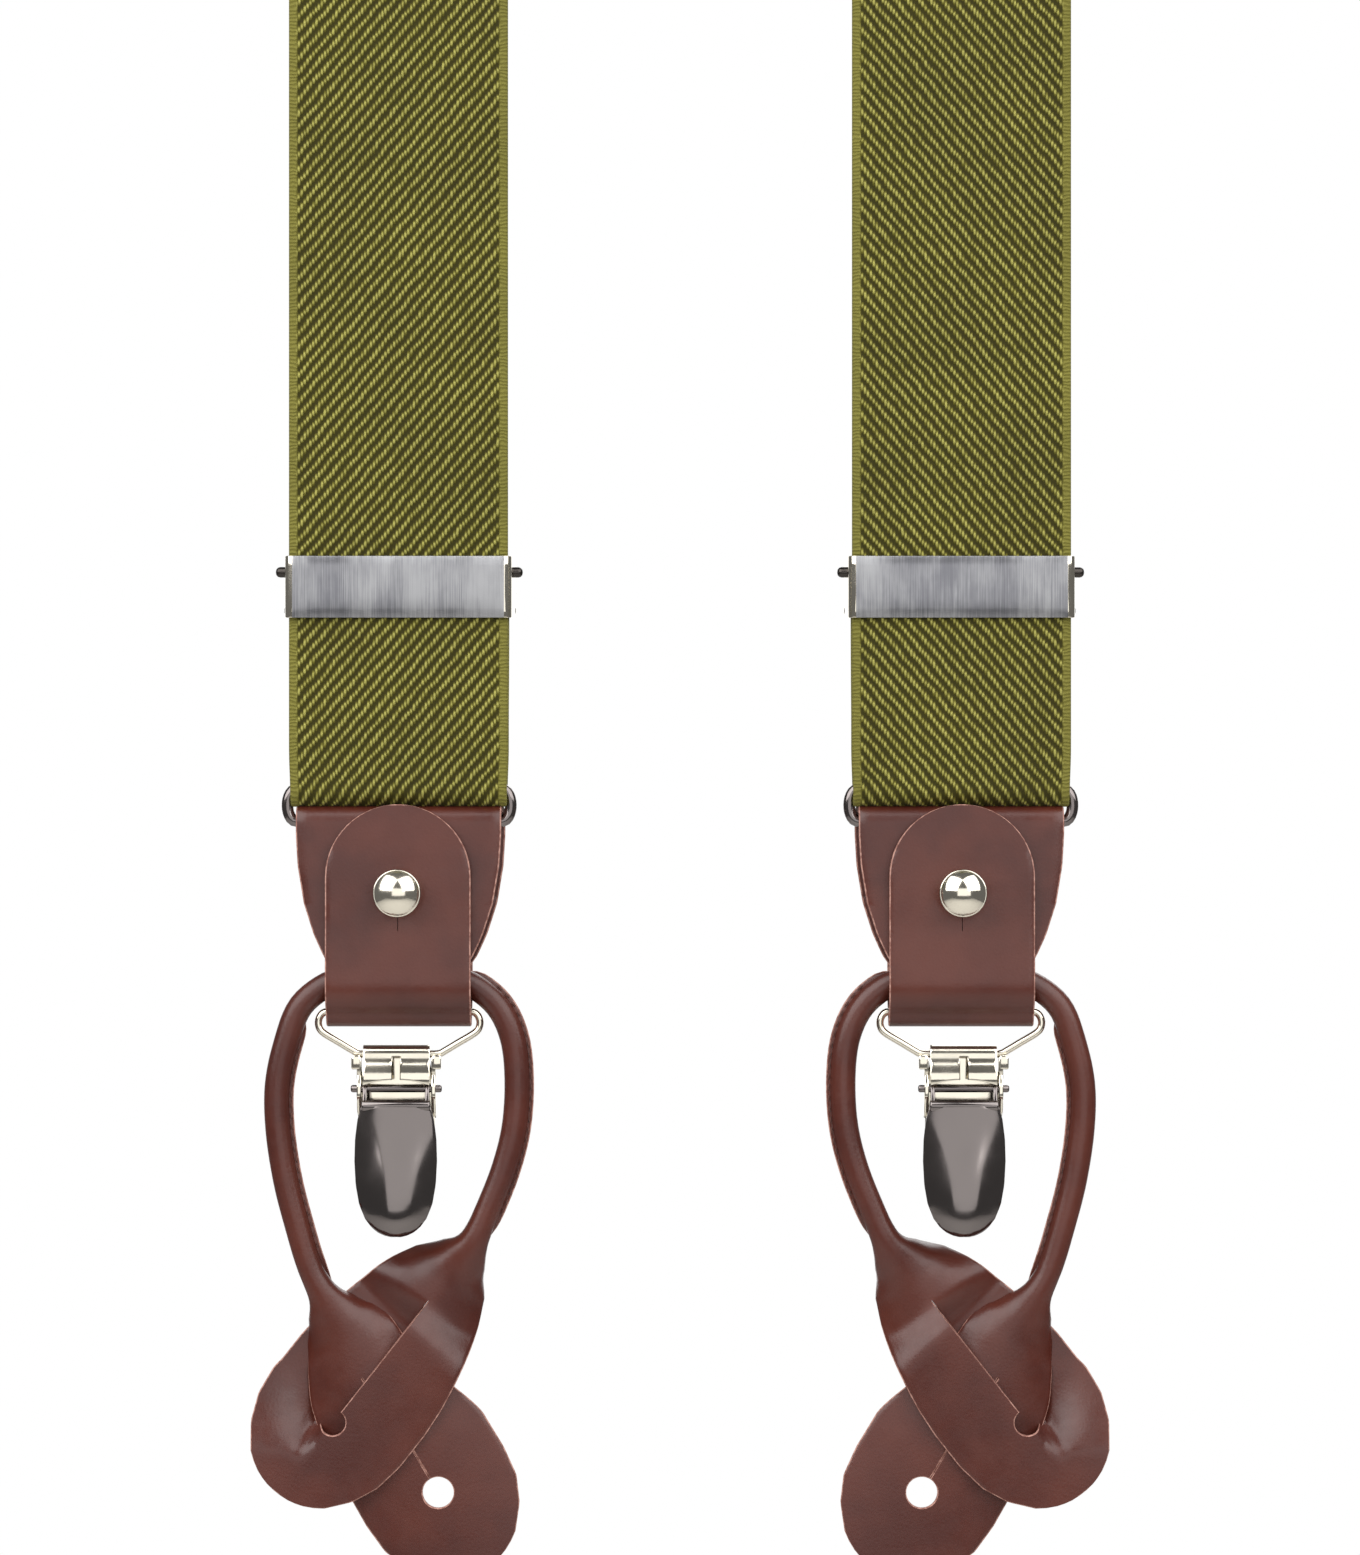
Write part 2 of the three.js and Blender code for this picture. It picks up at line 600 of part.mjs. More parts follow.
// A leather Y whose arms cross the front straps' ends and whose foot covers the back strap's top.
function patchLayer() {
  const outline = new THREE.Shape()
    .moveTo(0, -92)
    .lineTo(4, -85.2)
    .lineTo(42.4, -96.2)
    .quadraticCurveTo(40, -112, 30, -120)
    .quadraticCurveTo(20.5, -128, 20.2, -142)
    .quadraticCurveTo(20, -147, 15, -147)
    .lineTo(-15, -147)
    .quadraticCurveTo(-20, -147, -20.2, -142)
    .quadraticCurveTo(-20.5, -128, -30, -120)
    .quadraticCurveTo(-40, -112, -42.4, -96.2)
    .lineTo(-4, -85.2)
    .closePath();
  return frontal(outline, 1.5, 5);
}

function rear() {
  const group = new THREE.Group();
  const half = WEB_T / 2 + 0.25 + 0.75;
  group.add(piece("patch_outer", patchLayer().translate(0, ARCH_R + half, 0), leather));
  group.add(piece("patch_inner", patchLayer().translate(0, ARCH_R - half, 0), leather));
  const lower = new THREE.Group();
  lower.position.set(0, ARCH_R, REAR_END_Z);
  lower.rotation.z = Math.PI;
  lower.add(piece("back_strap", backStrap(), webbing), strapLowerEnd("rear"));
  group.add(lower);
  return group;
}

const suspenders = new THREE.Group();
suspenders.add(frontSide("left"), frontSide("right"), rear());

export default suspenders;
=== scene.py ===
# Convertible Y-back suspenders hung over a bar: olive elastic webbing, reddish brown leather and nickel fittings.
# Lengths in the settings are in millimetres, and each lower end is shaped in its own frame: x to the right, y to the
# back, z up, with z = 0 at the lower edge of the strap's fold.
import math

import bmesh
import bpy
import numpy as np
from mathutils import Matrix, Vector


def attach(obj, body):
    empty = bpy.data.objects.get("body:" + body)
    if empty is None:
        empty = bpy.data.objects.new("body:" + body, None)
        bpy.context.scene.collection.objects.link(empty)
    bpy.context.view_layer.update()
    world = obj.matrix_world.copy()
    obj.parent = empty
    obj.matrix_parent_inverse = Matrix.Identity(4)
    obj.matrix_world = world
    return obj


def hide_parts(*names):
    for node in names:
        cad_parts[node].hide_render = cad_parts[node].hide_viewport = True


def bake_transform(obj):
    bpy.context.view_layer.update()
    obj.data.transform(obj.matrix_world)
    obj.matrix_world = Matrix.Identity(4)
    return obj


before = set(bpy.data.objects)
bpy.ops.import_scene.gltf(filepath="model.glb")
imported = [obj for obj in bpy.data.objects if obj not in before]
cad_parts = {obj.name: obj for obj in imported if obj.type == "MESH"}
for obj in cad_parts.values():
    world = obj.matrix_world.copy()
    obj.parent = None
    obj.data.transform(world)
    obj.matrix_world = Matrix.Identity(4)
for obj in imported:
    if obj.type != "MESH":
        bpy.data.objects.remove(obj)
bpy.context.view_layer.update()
print("frame loaded,", len(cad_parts), "nodes")

mm = 0.001
layout = {
    "strapX": 45, "archRadius": 16, "frontEndZ": -560, "rearEndZ": -290, "webWidth": 35, "webThickness": 1.5,
}
ringPlaneY = 2.05  # the ring, the loop and the bail all hang in this plane of an end

leftEnd = Matrix.Translation((-layout["strapX"], -layout["archRadius"], layout["frontEndZ"]))
endPlaces = {
    "left": leftEnd,
    "right": Matrix.Diagonal((-1, 1, 1, 1)) @ leftEnd,
    "rear": Matrix.Translation((0, layout["archRadius"], layout["rearEndZ"])) @ Matrix.Rotation(math.pi, 4, "Z"),
    "whole": Matrix.Identity(4),
}


def linearColour(hexText):
    channels = [int(hexText[i : i + 2], 16) / 255 for i in (0, 2, 4)]
    return [c / 12.92 if c <= 0.04045 else ((c + 0.055) / 1.055) ** 2.4 for c in channels] + [1]


# An input may be a value, a socket, or a node, which then gives the first of its outputs in use.
def setInputs(tree, node, inputs):
    for name, value in inputs.items() if isinstance(inputs, dict) else enumerate(inputs):
        if isinstance(value, bpy.types.Node):
            value = next(output for output in value.outputs if output.enabled)
        if isinstance(value, bpy.types.NodeSocket):
            tree.links.new(value, node.inputs[name])
        else:
            node.inputs[name].default_value = value


def addNode(tree, kind, inputs=(), **settings):
    node = tree.nodes.new("ShaderNode" + kind)
    for name, value in settings.items():
        setattr(node, name, value)
    setInputs(tree, node, inputs)
    return node


def newFinish(name):
    material = bpy.data.materials.new(name)
    material.use_nodes = True
    tree = material.node_tree
    return material, tree, tree.nodes["Principled BSDF"]


eased = {"interpolation_type": "SMOOTHSTEP"}  # how every range changes over
coloured = {"data_type": "RGBA"}  # a mix of colours rather than of numbers

# Elastic webbing: polyester yarn woven over rubber in a steep twill, which gives beaded diagonal ribs, with a plain
# woven edge. The UV map holds the distance across and along the strap in millimetres.
# the groove colour is a painted shade and the crest colour a painted highlight; the side colour is the yarn's own
webbingLook = {
    "paintedCrestHighlight": "9f9a50", "side": "5c5719", "paintedGrooveShade": "312d04", "edge": "6d682c", "ribPitch": 2.2, "ribSlope": 1.18,
    "columnPitch": 0.46, "edgeFrom": 16.2, "edgeThread": 0.6, "drift": 1.1, "bumpDepth": 0.35,
}


def makeWebbing():
    look = webbingLook
    material, tree, shader = newFinish("twillElasticWebbing")
    strapPlace = addNode(tree, "UVMap", uv_map="strap")
    place = addNode(tree, "SeparateXYZ", [strapPlace])
    wander = addNode(tree, "TexNoise", {"Vector": strapPlace, "Scale": 0.35, "Detail": 3.0}, noise_dimensions="2D")
    drift = addNode(tree, "Math", [wander, look["drift"], -look["drift"] / 2], operation="MULTIPLY_ADD")
    across = addNode(tree, "Math", [drift, 0.25, place.outputs[0]], operation="MULTIPLY_ADD")
    alongStrap = addNode(tree, "Math", [place.outputs[1], drift], operation="ADD")
    column = addNode(tree, "Math", [across, look["columnPitch"]], operation="DIVIDE")
    columnStart = addNode(tree, "Math", [column], operation="FLOOR")
    # each column of yarn floats over and under one step higher than its neighbour
    rise = addNode(tree, "Math", [columnStart, -look["ribSlope"] * look["columnPitch"]], operation="MULTIPLY")
    climbed = addNode(tree, "Math", [alongStrap, rise], operation="ADD")
    ribPhase = addNode(tree, "Math", [climbed, 2 * math.pi / look["ribPitch"]], operation="MULTIPLY")
    ribWave = addNode(tree, "Math", [ribPhase], operation="SINE")
    rib = addNode(tree, "Math", [ribWave, 0.5, 0.5], operation="MULTIPLY_ADD")
    ridge = addNode(tree, "Math", [rib, 1.7], operation="POWER")
    inColumn = addNode(tree, "Math", [column], operation="FRACT")
    yarnPhase = addNode(tree, "Math", [inColumn, math.pi], operation="MULTIPLY")
    yarnWave = addNode(tree, "Math", [yarnPhase], operation="SINE")
    yarn = addNode(tree, "Math", [yarnWave, 0.5], operation="POWER")
    # every bead of yarn lies a little higher or lower than the next
    ribCount = addNode(tree, "Math", [ribPhase, 2 * math.pi], operation="DIVIDE")
    ribNumber = addNode(tree, "Math", [ribCount], operation="FLOOR")
    beadPlace = addNode(tree, "CombineXYZ", [columnStart, ribNumber])
    bead = addNode(tree, "TexWhiteNoise", {"Vector": beadPlace}, noise_dimensions="2D")
    beadHeight = addNode(tree, "MapRange", [bead, 0, 1, 0.72, 1.1], **eased)
    yarnHeight = addNode(tree, "Math", [yarn, 0.65, 0.35], operation="MULTIPLY_ADD")
    crown = addNode(tree, "Math", [yarnHeight, beadHeight], operation="MULTIPLY")
    twill = addNode(tree, "Math", [ridge, crown], operation="MULTIPLY")
    threadPhase = addNode(tree, "Math", [alongStrap, 2 * math.pi / look["edgeThread"]], operation="MULTIPLY")
    threadWave = addNode(tree, "Math", [threadPhase], operation="SINE")
    edgeThread = addNode(tree, "Math", [threadWave, 0.16, 0.6], operation="MULTIPLY_ADD")
    fromMiddle = addNode(tree, "Math", [place.outputs[0]], operation="ABSOLUTE")
    inEdge = addNode(tree, "MapRange", [fromMiddle, look["edgeFrom"] - 0.25, look["edgeFrom"] + 0.25], **eased)
    height = addNode(tree, "Mix", {0: inEdge, 2: twill, 3: edgeThread})
    # painted shade and highlight: the colour goes from a painted shade in the grooves up the sides of the ribs, in the
    # yarn's own colour, to a painted highlight on their crests
    onSide = addNode(tree, "MapRange", [height, 0.02, 0.4], **eased)
    paintedGrooveShade, side = linearColour(look["paintedGrooveShade"]), linearColour(look["side"])
    sides = addNode(tree, "Mix", {0: onSide, 6: paintedGrooveShade, 7: side}, **coloured)
    onCrest = addNode(tree, "MapRange", [height, 0.3, 0.9], **eased)
    crests = addNode(tree, "Mix", {0: onCrest, 6: sides, 7: linearColour(look["paintedCrestHighlight"])}, **coloured)
    edgeShare = addNode(tree, "Math", [inEdge, 0.75], operation="MULTIPLY")
    yarnColourWithPaintedLight = addNode(tree, "Mix", {0: edgeShare, 6: crests, 7: linearColour(look["edge"])}, **coloured)
    onPiece = addNode(tree, "TexCoord").outputs["Object"]
    patchy = addNode(tree, "TexNoise", {"Vector": onPiece, "Scale": 60.0, "Detail": 4.0})
    shade = addNode(tree, "MapRange", [patchy, 0.3, 0.7, 0.9, 1.06], **eased)
    shaded = addNode(tree, "Mix", {0: 1.0, 6: yarnColourWithPaintedLight, 7: shade}, blend_type="MULTIPLY", **coloured)
    bump = addNode(tree, "Bump", {"Height": height, "Strength": 0.9, "Distance": look["bumpDepth"] * mm})
    setInputs(tree, shader, {"Base Color": shaded, "Normal": bump, "Roughness": 0.78, "Specular IOR Level": 0.2,
                             "Sheen Weight": 0.05, "Sheen Roughness": 0.4})
    return material


# Full-grain cowhide, aniline dyed and plated smooth under heat: a fine pebble of pores, cloudy dye and a soft shine.
leatherLook = {
    "dye": "51241a", "dyeLight": "58291e", "dyeDark": "461d15", "clouds": 14.0, "grain": 0.45, "creases": 2.6,
    "bumpDepth": 0.12,
}


def makeLeather():
    look = leatherLook
    material, tree, shader = newFinish("platedCowhide")
    place = addNode(tree, "TexCoord").outputs["Object"]
    clouds = addNode(tree, "TexNoise", {"Vector": place, "Scale": 1 / (look["clouds"] * mm), "Detail": 5.0})
    thin = addNode(tree, "MapRange", [clouds, 0.34, 0.56], **eased)
    deep = addNode(tree, "Mix", {0: thin, 6: linearColour(look["dyeDark"]), 7: linearColour(look["dye"])}, **coloured)
    worn = addNode(tree, "MapRange", [clouds, 0.5, 0.72], **eased)
    dyed = addNode(tree, "Mix", {0: worn, 6: deep, 7: linearColour(look["dyeLight"])}, **coloured)
    pores = addNode(tree, "TexVoronoi", {"Vector": place, "Scale": 1 / (look["grain"] * mm)}, feature="SMOOTH_F1")
    creases = addNode(tree, "TexNoise", {"Vector": place, "Scale": 1 / (look["creases"] * mm), "Detail": 8.0,
                                         "Roughness": 0.62})
    grain = addNode(tree, "Math", [creases, 1.4, pores], operation="MULTIPLY_ADD")
    bump = addNode(tree, "Bump", {"Height": grain, "Strength": 0.13, "Distance": look["bumpDepth"] * mm})
    shine = addNode(tree, "MapRange", [creases, 0.3, 0.7, 0.29, 0.38], **eased)
    setInputs(tree, shader, {"Base Color": dyed, "Normal": bump, "Roughness": shine, "Specular IOR Level": 0.5})
    return material


# The cut edge of the same hide, where the dye hasn't gone in: pale, pinkish and fibrous.
cutEdgeLook = {"low": "7d5045", "high": "b98c7e", "fibre": 0.8, "bumpDepth": 0.1}


def makeCutEdge():
    look = cutEdgeLook
    material, tree, shader = newFinish("cutHideEdge")
    place = addNode(tree, "TexCoord").outputs["Object"]
    fibres = addNode(tree, "TexNoise", {"Vector": place, "Scale": 1 / (look["fibre"] * mm), "Detail": 4.0})
    raised = addNode(tree, "MapRange", [fibres, 0.3, 0.7], **eased)
    pale = addNode(tree, "Mix", {0: raised, 6: linearColour(look["low"]), 7: linearColour(look["high"])}, **coloured)
    bump = addNode(tree, "Bump", {"Height": fibres, "Strength": 0.4, "Distance": look["bumpDepth"] * mm})
    setInputs(tree, shader, {"Base Color": pale, "Normal": bump, "Roughness": 0.7})
    return material


# Nickel plate: the bright kind is buffed and slightly warm, the black kind is the same gloss with a smoky tint.
# Handling leaves a faint haze.
def makeNickel(name, colour, roughness, haze, filmPatch=6):
    material, tree, shader = newFinish(name)
    place = addNode(tree, "TexCoord").outputs["Object"]
    film = addNode(tree, "TexNoise", {"Vector": place, "Scale": 1 / (filmPatch * mm), "Detail": 5.0})
    hazed = addNode(tree, "MapRange", [film, 0.35, 0.7, roughness, roughness + haze], **eased)
    setInputs(tree, shader, {"Base Color": linearColour(colour), "Metallic": 1, "Roughness": hazed})
    return material


# Pressed steel with a satin nickel face, rubbed up and down: fine upright lines, cloudy patches and a few scratches.
satinLook = {
    "light": "acacae", "dark": "7a7a7f", "lineWidth": 0.16, "patch": 7.0, "bumpDepth": 0.03,
    "scratchScale": (3000, 900, 260), "scratchTurn": 0.35,
}


def makeSatinSteel():
    look = satinLook
    material, tree, shader = newFinish("satinRubbedSteel")
    place = addNode(tree, "TexCoord").outputs["Object"]
    upright = addNode(tree, "Mapping", {"Vector": place, "Scale": (1 / (look["lineWidth"] * mm), 900, 90)})
    lines = addNode(tree, "TexNoise", {"Vector": upright, "Scale": 1.0, "Detail": 4.0})
    drawnOut = addNode(tree, "Mapping", {"Vector": place, "Scale": (1, 1, 0.45)})
    patches = addNode(tree, "TexNoise", {"Vector": drawnOut, "Scale": 1 / (look["patch"] * mm), "Detail": 4.0,
                                         "Roughness": 0.55})
    patchShare = addNode(tree, "Math", [patches, 0.75], operation="MULTIPLY")
    tone = addNode(tree, "Math", [lines, 0.45, patchShare], operation="MULTIPLY_ADD")
    lit = addNode(tree, "MapRange", [tone, 0.42, 0.75], **eased)
    colour = addNode(tree, "Mix", {0: lit, 6: linearColour(look["dark"]), 7: linearColour(look["light"])}, **coloured)
    rough = addNode(tree, "MapRange", [patches, 0.35, 0.65, 0.3, 0.46], **eased)
    slanting = addNode(tree, "Mapping", {"Vector": place, "Scale": look["scratchScale"],
                                         "Rotation": (0, look["scratchTurn"], 0)})
    scratches = addNode(tree, "TexNoise", {"Vector": slanting, "Scale": 1.0, "Detail": 2.0})
    scored = addNode(tree, "MapRange", [scratches, 0.62, 0.7], **eased)
    rubbed = addNode(tree, "Math", [scored, 0.6, lines], operation="MULTIPLY_ADD")
    bump = addNode(tree, "Bump", {"Height": rubbed, "Strength": 0.25, "Distance": look["bumpDepth"] * mm})
    setInputs(tree, shader, {"Base Color": colour, "Metallic": 1, "Roughness": rough, "Normal": bump})
    return material


# Moulded nylon grip with the fine matt of a spark-eroded mould.
nylonLook = {"colour": "2b2523", "matt": 0.25, "bumpDepth": 0.05}


def makeNylon():
    look = nylonLook
    material, tree, shader = newFinish("mouldedNylonGrip")
    place = addNode(tree, "TexCoord").outputs["Object"]
    matt = addNode(tree, "TexNoise", {"Vector": place, "Scale": 1 / (look["matt"] * mm), "Detail": 3.0})
    rough = addNode(tree, "MapRange", [matt, 0.3, 0.7, 0.5, 0.66], **eased)
    bump = addNode(tree, "Bump", {"Height": matt, "Strength": 0.2, "Distance": look["bumpDepth"] * mm})
    setInputs(tree, shader, {"Base Color": linearColour(look["colour"]), "Roughness": rough, "Normal": bump})
    return material


# Bonded polyester sewing thread, three plies twisted, a shade lighter than what it sews.
def makeThread(name, colour, ply=0.2, bumpDepth=0.05):
    material, tree, shader = newFinish(name)
    place = addNode(tree, "TexCoord").outputs["Object"]
    plies = addNode(tree, "TexNoise", {"Vector": place, "Scale": 1 / (ply * mm), "Detail": 2.0})
    tone = addNode(tree, "MapRange", [plies, 0.3, 0.7, 0.8, 1.1], **eased)
    tinted = addNode(tree, "Mix", {0: 1.0, 6: linearColour(colour), 7: tone}, blend_type="MULTIPLY", **coloured)
    bump = addNode(tree, "Bump", {"Height": plies, "Strength": 0.3, "Distance": bumpDepth * mm})
    setInputs(tree, shader, {"Base Color": tinted, "Normal": bump, "Roughness": 0.6})
    return material


webbing = makeWebbing()
leather = makeLeather()
cutEdge = makeCutEdge()
brightNickel = makeNickel("buffedNickel", "e4ddcd", 0.09, 0.08)
blackNickel = makeNickel("blackNickel", "7a7371", 0.12, 0.06)
blackenedSteel = makeNickel("blackenedSteel", "45413e", 0.22, 0.1)
satinSteel = makeSatinSteel()
nylon = makeNylon()
brownThread = makeThread("brownBondedThread", "5b352b")
oliveThread = makeThread("oliveBondedThread", "75702f")
print("finishes made")


# A route through points, measured along its length.
def makeRoute(points, closed=False):
    path = np.array([list(p) for p in points] + ([list(points[0])] if closed else []), float)
    lengths = np.concatenate([[0], np.cumsum(np.linalg.norm(np.diff(path, axis=0), axis=1))])
    return {"path": path, "lengths": lengths, "total": lengths[-1], "closed": closed}


def pointOn(route, distance):
    if route["closed"]:
        distance = distance % route["total"]
    return Vector([float(np.interp(distance, route["lengths"], column)) for column in route["path"].T])


def directionOn(route, distance, reach=0.35):
    if not route["closed"]:
        distance = min(max(distance, reach), route["total"] - reach)
    return (pointOn(route, distance + reach) - pointOn(route, distance - reach)).normalized()


# A smooth curve through a few points, as a chain of short steps.
def smoothThrough(points, closed=False, perSpan=10):
    points = [Vector(p) for p in points]
    count = len(points)
    result = []
    for i in range(count if closed else count - 1):
        a, b, c, d = [points[(i + k) % count] if closed else points[min(max(i + k, 0), count - 1)]
                      for k in (-1, 0, 1, 2)]
        for step in range(perSpan):
            t = step / perSpan
            result.append(0.5 * (2 * b + (c - a) * t + (2 * a - 5 * b + 4 * c - d) * t**2
                                 + (3 * b - a - 3 * c + d) * t**3))
    return result if closed else result + [points[-1]]


def arcOf(centre, radius, fromDegrees, toDegrees, steps=12):
    turns = [math.radians(fromDegrees + (toDegrees - fromDegrees) * i / steps) for i in range(steps + 1)]
    return [(centre[0] + radius * math.cos(t), centre[1] + radius * math.sin(t)) for t in turns]


# Reads a value from a table of (position, value) pairs.
def tableValue(table, at):
    return float(np.interp(at, [row[0] for row in table], [row[1] for row in table]))


def smoothStep(value, low, high):
    t = min(max((value - low) / (high - low), 0), 1)
    return t * t * (3 - 2 * t)


# Gives a flat face or sheet its thickness by drawing it out.
def thicken(bm, faces, way):
    grown = bmesh.ops.extrude_face_region(bm, geom=faces)
    moved = [part for part in grown["geom"] if isinstance(part, bmesh.types.BMVert)]
    bmesh.ops.translate(bm, verts=moved, vec=way)


# A closed bar or plate: an outline of (x, y, z) points drawn out.
def drawnOut(outline, way):
    bm = bmesh.new()
    face = bm.faces.new([bm.verts.new(point) for point in outline])
    thicken(bm, [face], way)
    bmesh.ops.recalc_face_normals(bm, faces=bm.faces)
    return bm


rim = {"width": 0.2, "drop": 0.15}  # how far a cut blank's rim is taken down, over what width


# A flat blank: a grid of the given outline, thickened about z = 0. A beveled one has its rim taken down all round.
def makeBlank(rowsAlong, halfWidthAt, columns, thickness, beveled=False):
    bm = bmesh.new()
    bmesh.ops.create_grid(bm, x_segments=columns, y_segments=len(rowsAlong) - 1, size=1)
    rims = []
    lastRow = len(rowsAlong) - 1
    for vert in bm.verts:
        row, column = round((vert.co.y + 1) / 2 * lastRow), round((vert.co.x + 1) / 2 * columns)
        along = rowsAlong[row]
        halfWidth = halfWidthAt(along)
        atRim = column in (0, columns) or row in (0, lastRow)
        if beveled and column not in (0, columns):
            inner = max(halfWidth - rim["width"], halfWidth * 0.5)
            vert.co.x = (2 * (column - 1) / (columns - 2) - 1) * inner
        else:
            vert.co.x *= halfWidth
        vert.co.y = along
        vert.co.z = -thickness / 2
        if beveled and atRim:
            rims.append(vert)
    thicken(bm, bm.faces[:], (0, 0, thickness))
    lowRims = {(round(v.co.x, 4), round(v.co.y, 4)) for v in rims}
    for vert in bm.verts:
        if (round(vert.co.x, 4), round(vert.co.y, 4)) in lowRims:
            vert.co.z -= math.copysign(rim["drop"], vert.co.z)
    bmesh.ops.recalc_face_normals(bm, faces=bm.faces)
    return bm


# Takes the cutters' shapes out of a closed mesh.
def punch(bm, cutters):
    objects = []
    for shape in [bm, *cutters]:
        mesh = bpy.data.meshes.new("punching")
        shape.to_mesh(mesh)
        objects.append(bpy.data.objects.new("punching", mesh))
        bpy.context.scene.collection.objects.link(objects[-1])
    blank = objects[0]
    for tool in objects[1:]:
        cut = blank.modifiers.new("cut", "BOOLEAN")
        cut.operation = "DIFFERENCE"
        cut.object = tool
    evaluated = blank.evaluated_get(bpy.context.evaluated_depsgraph_get())
    bm.clear()
    bm.from_mesh(evaluated.to_mesh())
    for thing in objects:
        mesh = thing.data
        bpy.data.objects.remove(thing)
        bpy.data.meshes.remove(mesh)
    for shape in cutters:
        shape.free()
    return bm


# The cutters also take down the rims of what they cut in a blank of the given thickness.
def holeCutter(y, radius, thickness, flare=1):
    inside, outside, wide = thickness / 2 - rim["drop"], thickness / 2 + flare - rim["drop"], radius + flare
    profile = [(0, -outside), (wide, -outside), (radius, -inside), (radius, inside), (wide, outside), (0, outside)]
    bm = turned(profile, 40)
    bmesh.ops.translate(bm, verts=bm.verts, vec=(0, y, 0))
    return bm


def slitCutter(fromY, toY, width, thickness, flare=0.4):
    inside, outside = thickness / 2 - rim["drop"], thickness / 2 + flare - rim["drop"]
    half, wide = width / 2, width / 2 + flare
    section = [(half, -inside), (half, inside), (wide, outside), (-wide, outside), (-half, inside),
               (-half, -inside), (-wide, -outside), (wide, -outside)]
    return drawnOut([(x, fromY, z) for x, z in section], (0, toY - fromY, 0))


def softenRims(bm, size, segments=2, angle=55):
    bmesh.ops.dissolve_degenerate(bm, dist=1e-4, edges=bm.edges)
    rims = [e for e in bm.edges if len(e.link_faces) == 2 and e.calc_face_angle(0) > math.radians(angle)]
    bmesh.ops.bevel(
        bm, geom=rims, offset=size, segments=segments, affect="EDGES", profile=0.5, material=-1, clamp_overlap=True
    )


# The rim of a cut blank gets the second finish.
def markCutEdges(bm):
    bm.normal_update()
    for face in bm.faces:
        face.material_index = 1 if abs(face.normal.z) < 0.94 else 0


# Bends a blank lying in (across, along, depth) by a function that gives each point's place.
def bendBlank(bm, placeOf):
    bmesh.ops.triangulate(bm, faces=[f for f in bm.faces if len(f.verts) > 4])
    for vert in bm.verts:
        vert.co = placeOf(*vert.co)
    bmesh.ops.recalc_face_normals(bm, faces=bm.faces)


# A profile of (radius, height) turned about z.
def turned(profile, steps=48):
    bm = bmesh.new()
    verts = [bm.verts.new((radius, 0, height)) for radius, height in profile]
    edges = [bm.edges.new(pair) for pair in zip(verts, verts[1:])]
    bmesh.ops.spin(
        bm, geom=verts + edges, cent=(0, 0, 0), axis=(0, 0, 1), angle=2 * math.pi, steps=steps, use_merge=True
    )
    bmesh.ops.remove_doubles(bm, verts=bm.verts, dist=1e-4)
    bmesh.ops.recalc_face_normals(bm, faces=bm.faces)
    return bm


# A rod along x with its ends rounded over.
def makeRod(radius, length, y, z, rounding=0.2, sides=32, x=0):
    bm = bmesh.new()
    bmesh.ops.create_cone(bm, segments=sides, radius1=radius, radius2=radius, depth=length, cap_ends=True)
    softenRims(bm, rounding, 3, 60)
    bmesh.ops.rotate(bm, verts=bm.verts, matrix=Matrix.Rotation(math.pi / 2, 3, "Y"))
    bmesh.ops.translate(bm, verts=bm.verts, vec=(x, y, z))
    return bm


# A flat plate of a (y, z) outline, thick along x.
def makeCheek(outline, x, thickness, rounding=0.12):
    bm = drawnOut([(x - thickness / 2, y, z) for y, z in outline], (thickness, 0, 0))
    softenRims(bm, rounding, 2, 40)
    return bm


# A closed ring of round wire through (x, y, z) points.
def makeWire(points, radius, sides=16):
    route = makeRoute(points, closed=True)
    steps = max(int(route["total"] / (0.55 * max(radius, 0.6))), 12)
    bm = bmesh.new()
    rings = []
    across = Vector((0, 1, 0))
    for i in range(steps):
        distance = route["total"] * i / steps
        along = directionOn(route, distance)
        across = (across - along * across.dot(along)).normalized()
        matrix = Matrix((across, along.cross(across), along)).transposed().to_4x4()
        circle = bmesh.ops.create_circle(
            bm, segments=sides, radius=radius, matrix=Matrix.Translation(pointOn(route, distance)) @ matrix
        )
        rings.append(circle["verts"])
    hoops = [list({edge for vert in ring for edge in vert.link_edges}) for ring in rings]
    for a, b in zip(hoops, hoops[1:] + hoops[:1]):
        bmesh.ops.bridge_loops(bm, edges=a + b)
    bmesh.ops.recalc_face_normals(bm, faces=bm.faces)
    return bm


# Puts closed shapes together in one mesh.
def joinShapes(*shapes):
    whole = bmesh.new()
    for shape in shapes:
        mesh = bpy.data.meshes.new("joining")
        shape.to_mesh(mesh)
        whole.from_mesh(mesh)
        bpy.data.meshes.remove(mesh)
        shape.free()
    return whole


# Puts a shape into the scene in its place and gives it its finish and body. It returns the new piece.
def addPiece(name, shape, side, finishes, body, slot, nodes=(), sharp=38):
    bm = shape.copy()
    bmesh.ops.transform(bm, verts=bm.verts, matrix=Matrix.Scale(mm, 4) @ endPlaces[side])
    if side == "right":
        bmesh.ops.reverse_faces(bm, faces=bm.faces)
    fullName = name if side == "whole" else f"{name}_{side}"
    mesh = bpy.data.meshes.new(fullName)
    bm.to_mesh(mesh)
    bm.free()
    for finish in finishes:
        mesh.materials.append(finish)
    mesh.shade_smooth()
    mesh.set_sharp_from_angle(angle=math.radians(sharp))
    piece = bpy.data.objects.new(fullName, mesh)
    bpy.context.scene.collection.objects.link(piece)
    if body:
        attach(piece, body)
    if nodes:
        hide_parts(*nodes)
    return piece


frontStrap = {
    "straight": 560, "drop": 104, "inset": 25.5, "bendFrom": 407.6, "bendLength": 304.3, "bendPower": 3.3,
    "blendReach": 260,
}
fold = {"radius": 2.05, "centreZ": 2.15, "width": 34.6, "plainFrom": 9, "gatherTo": 1}


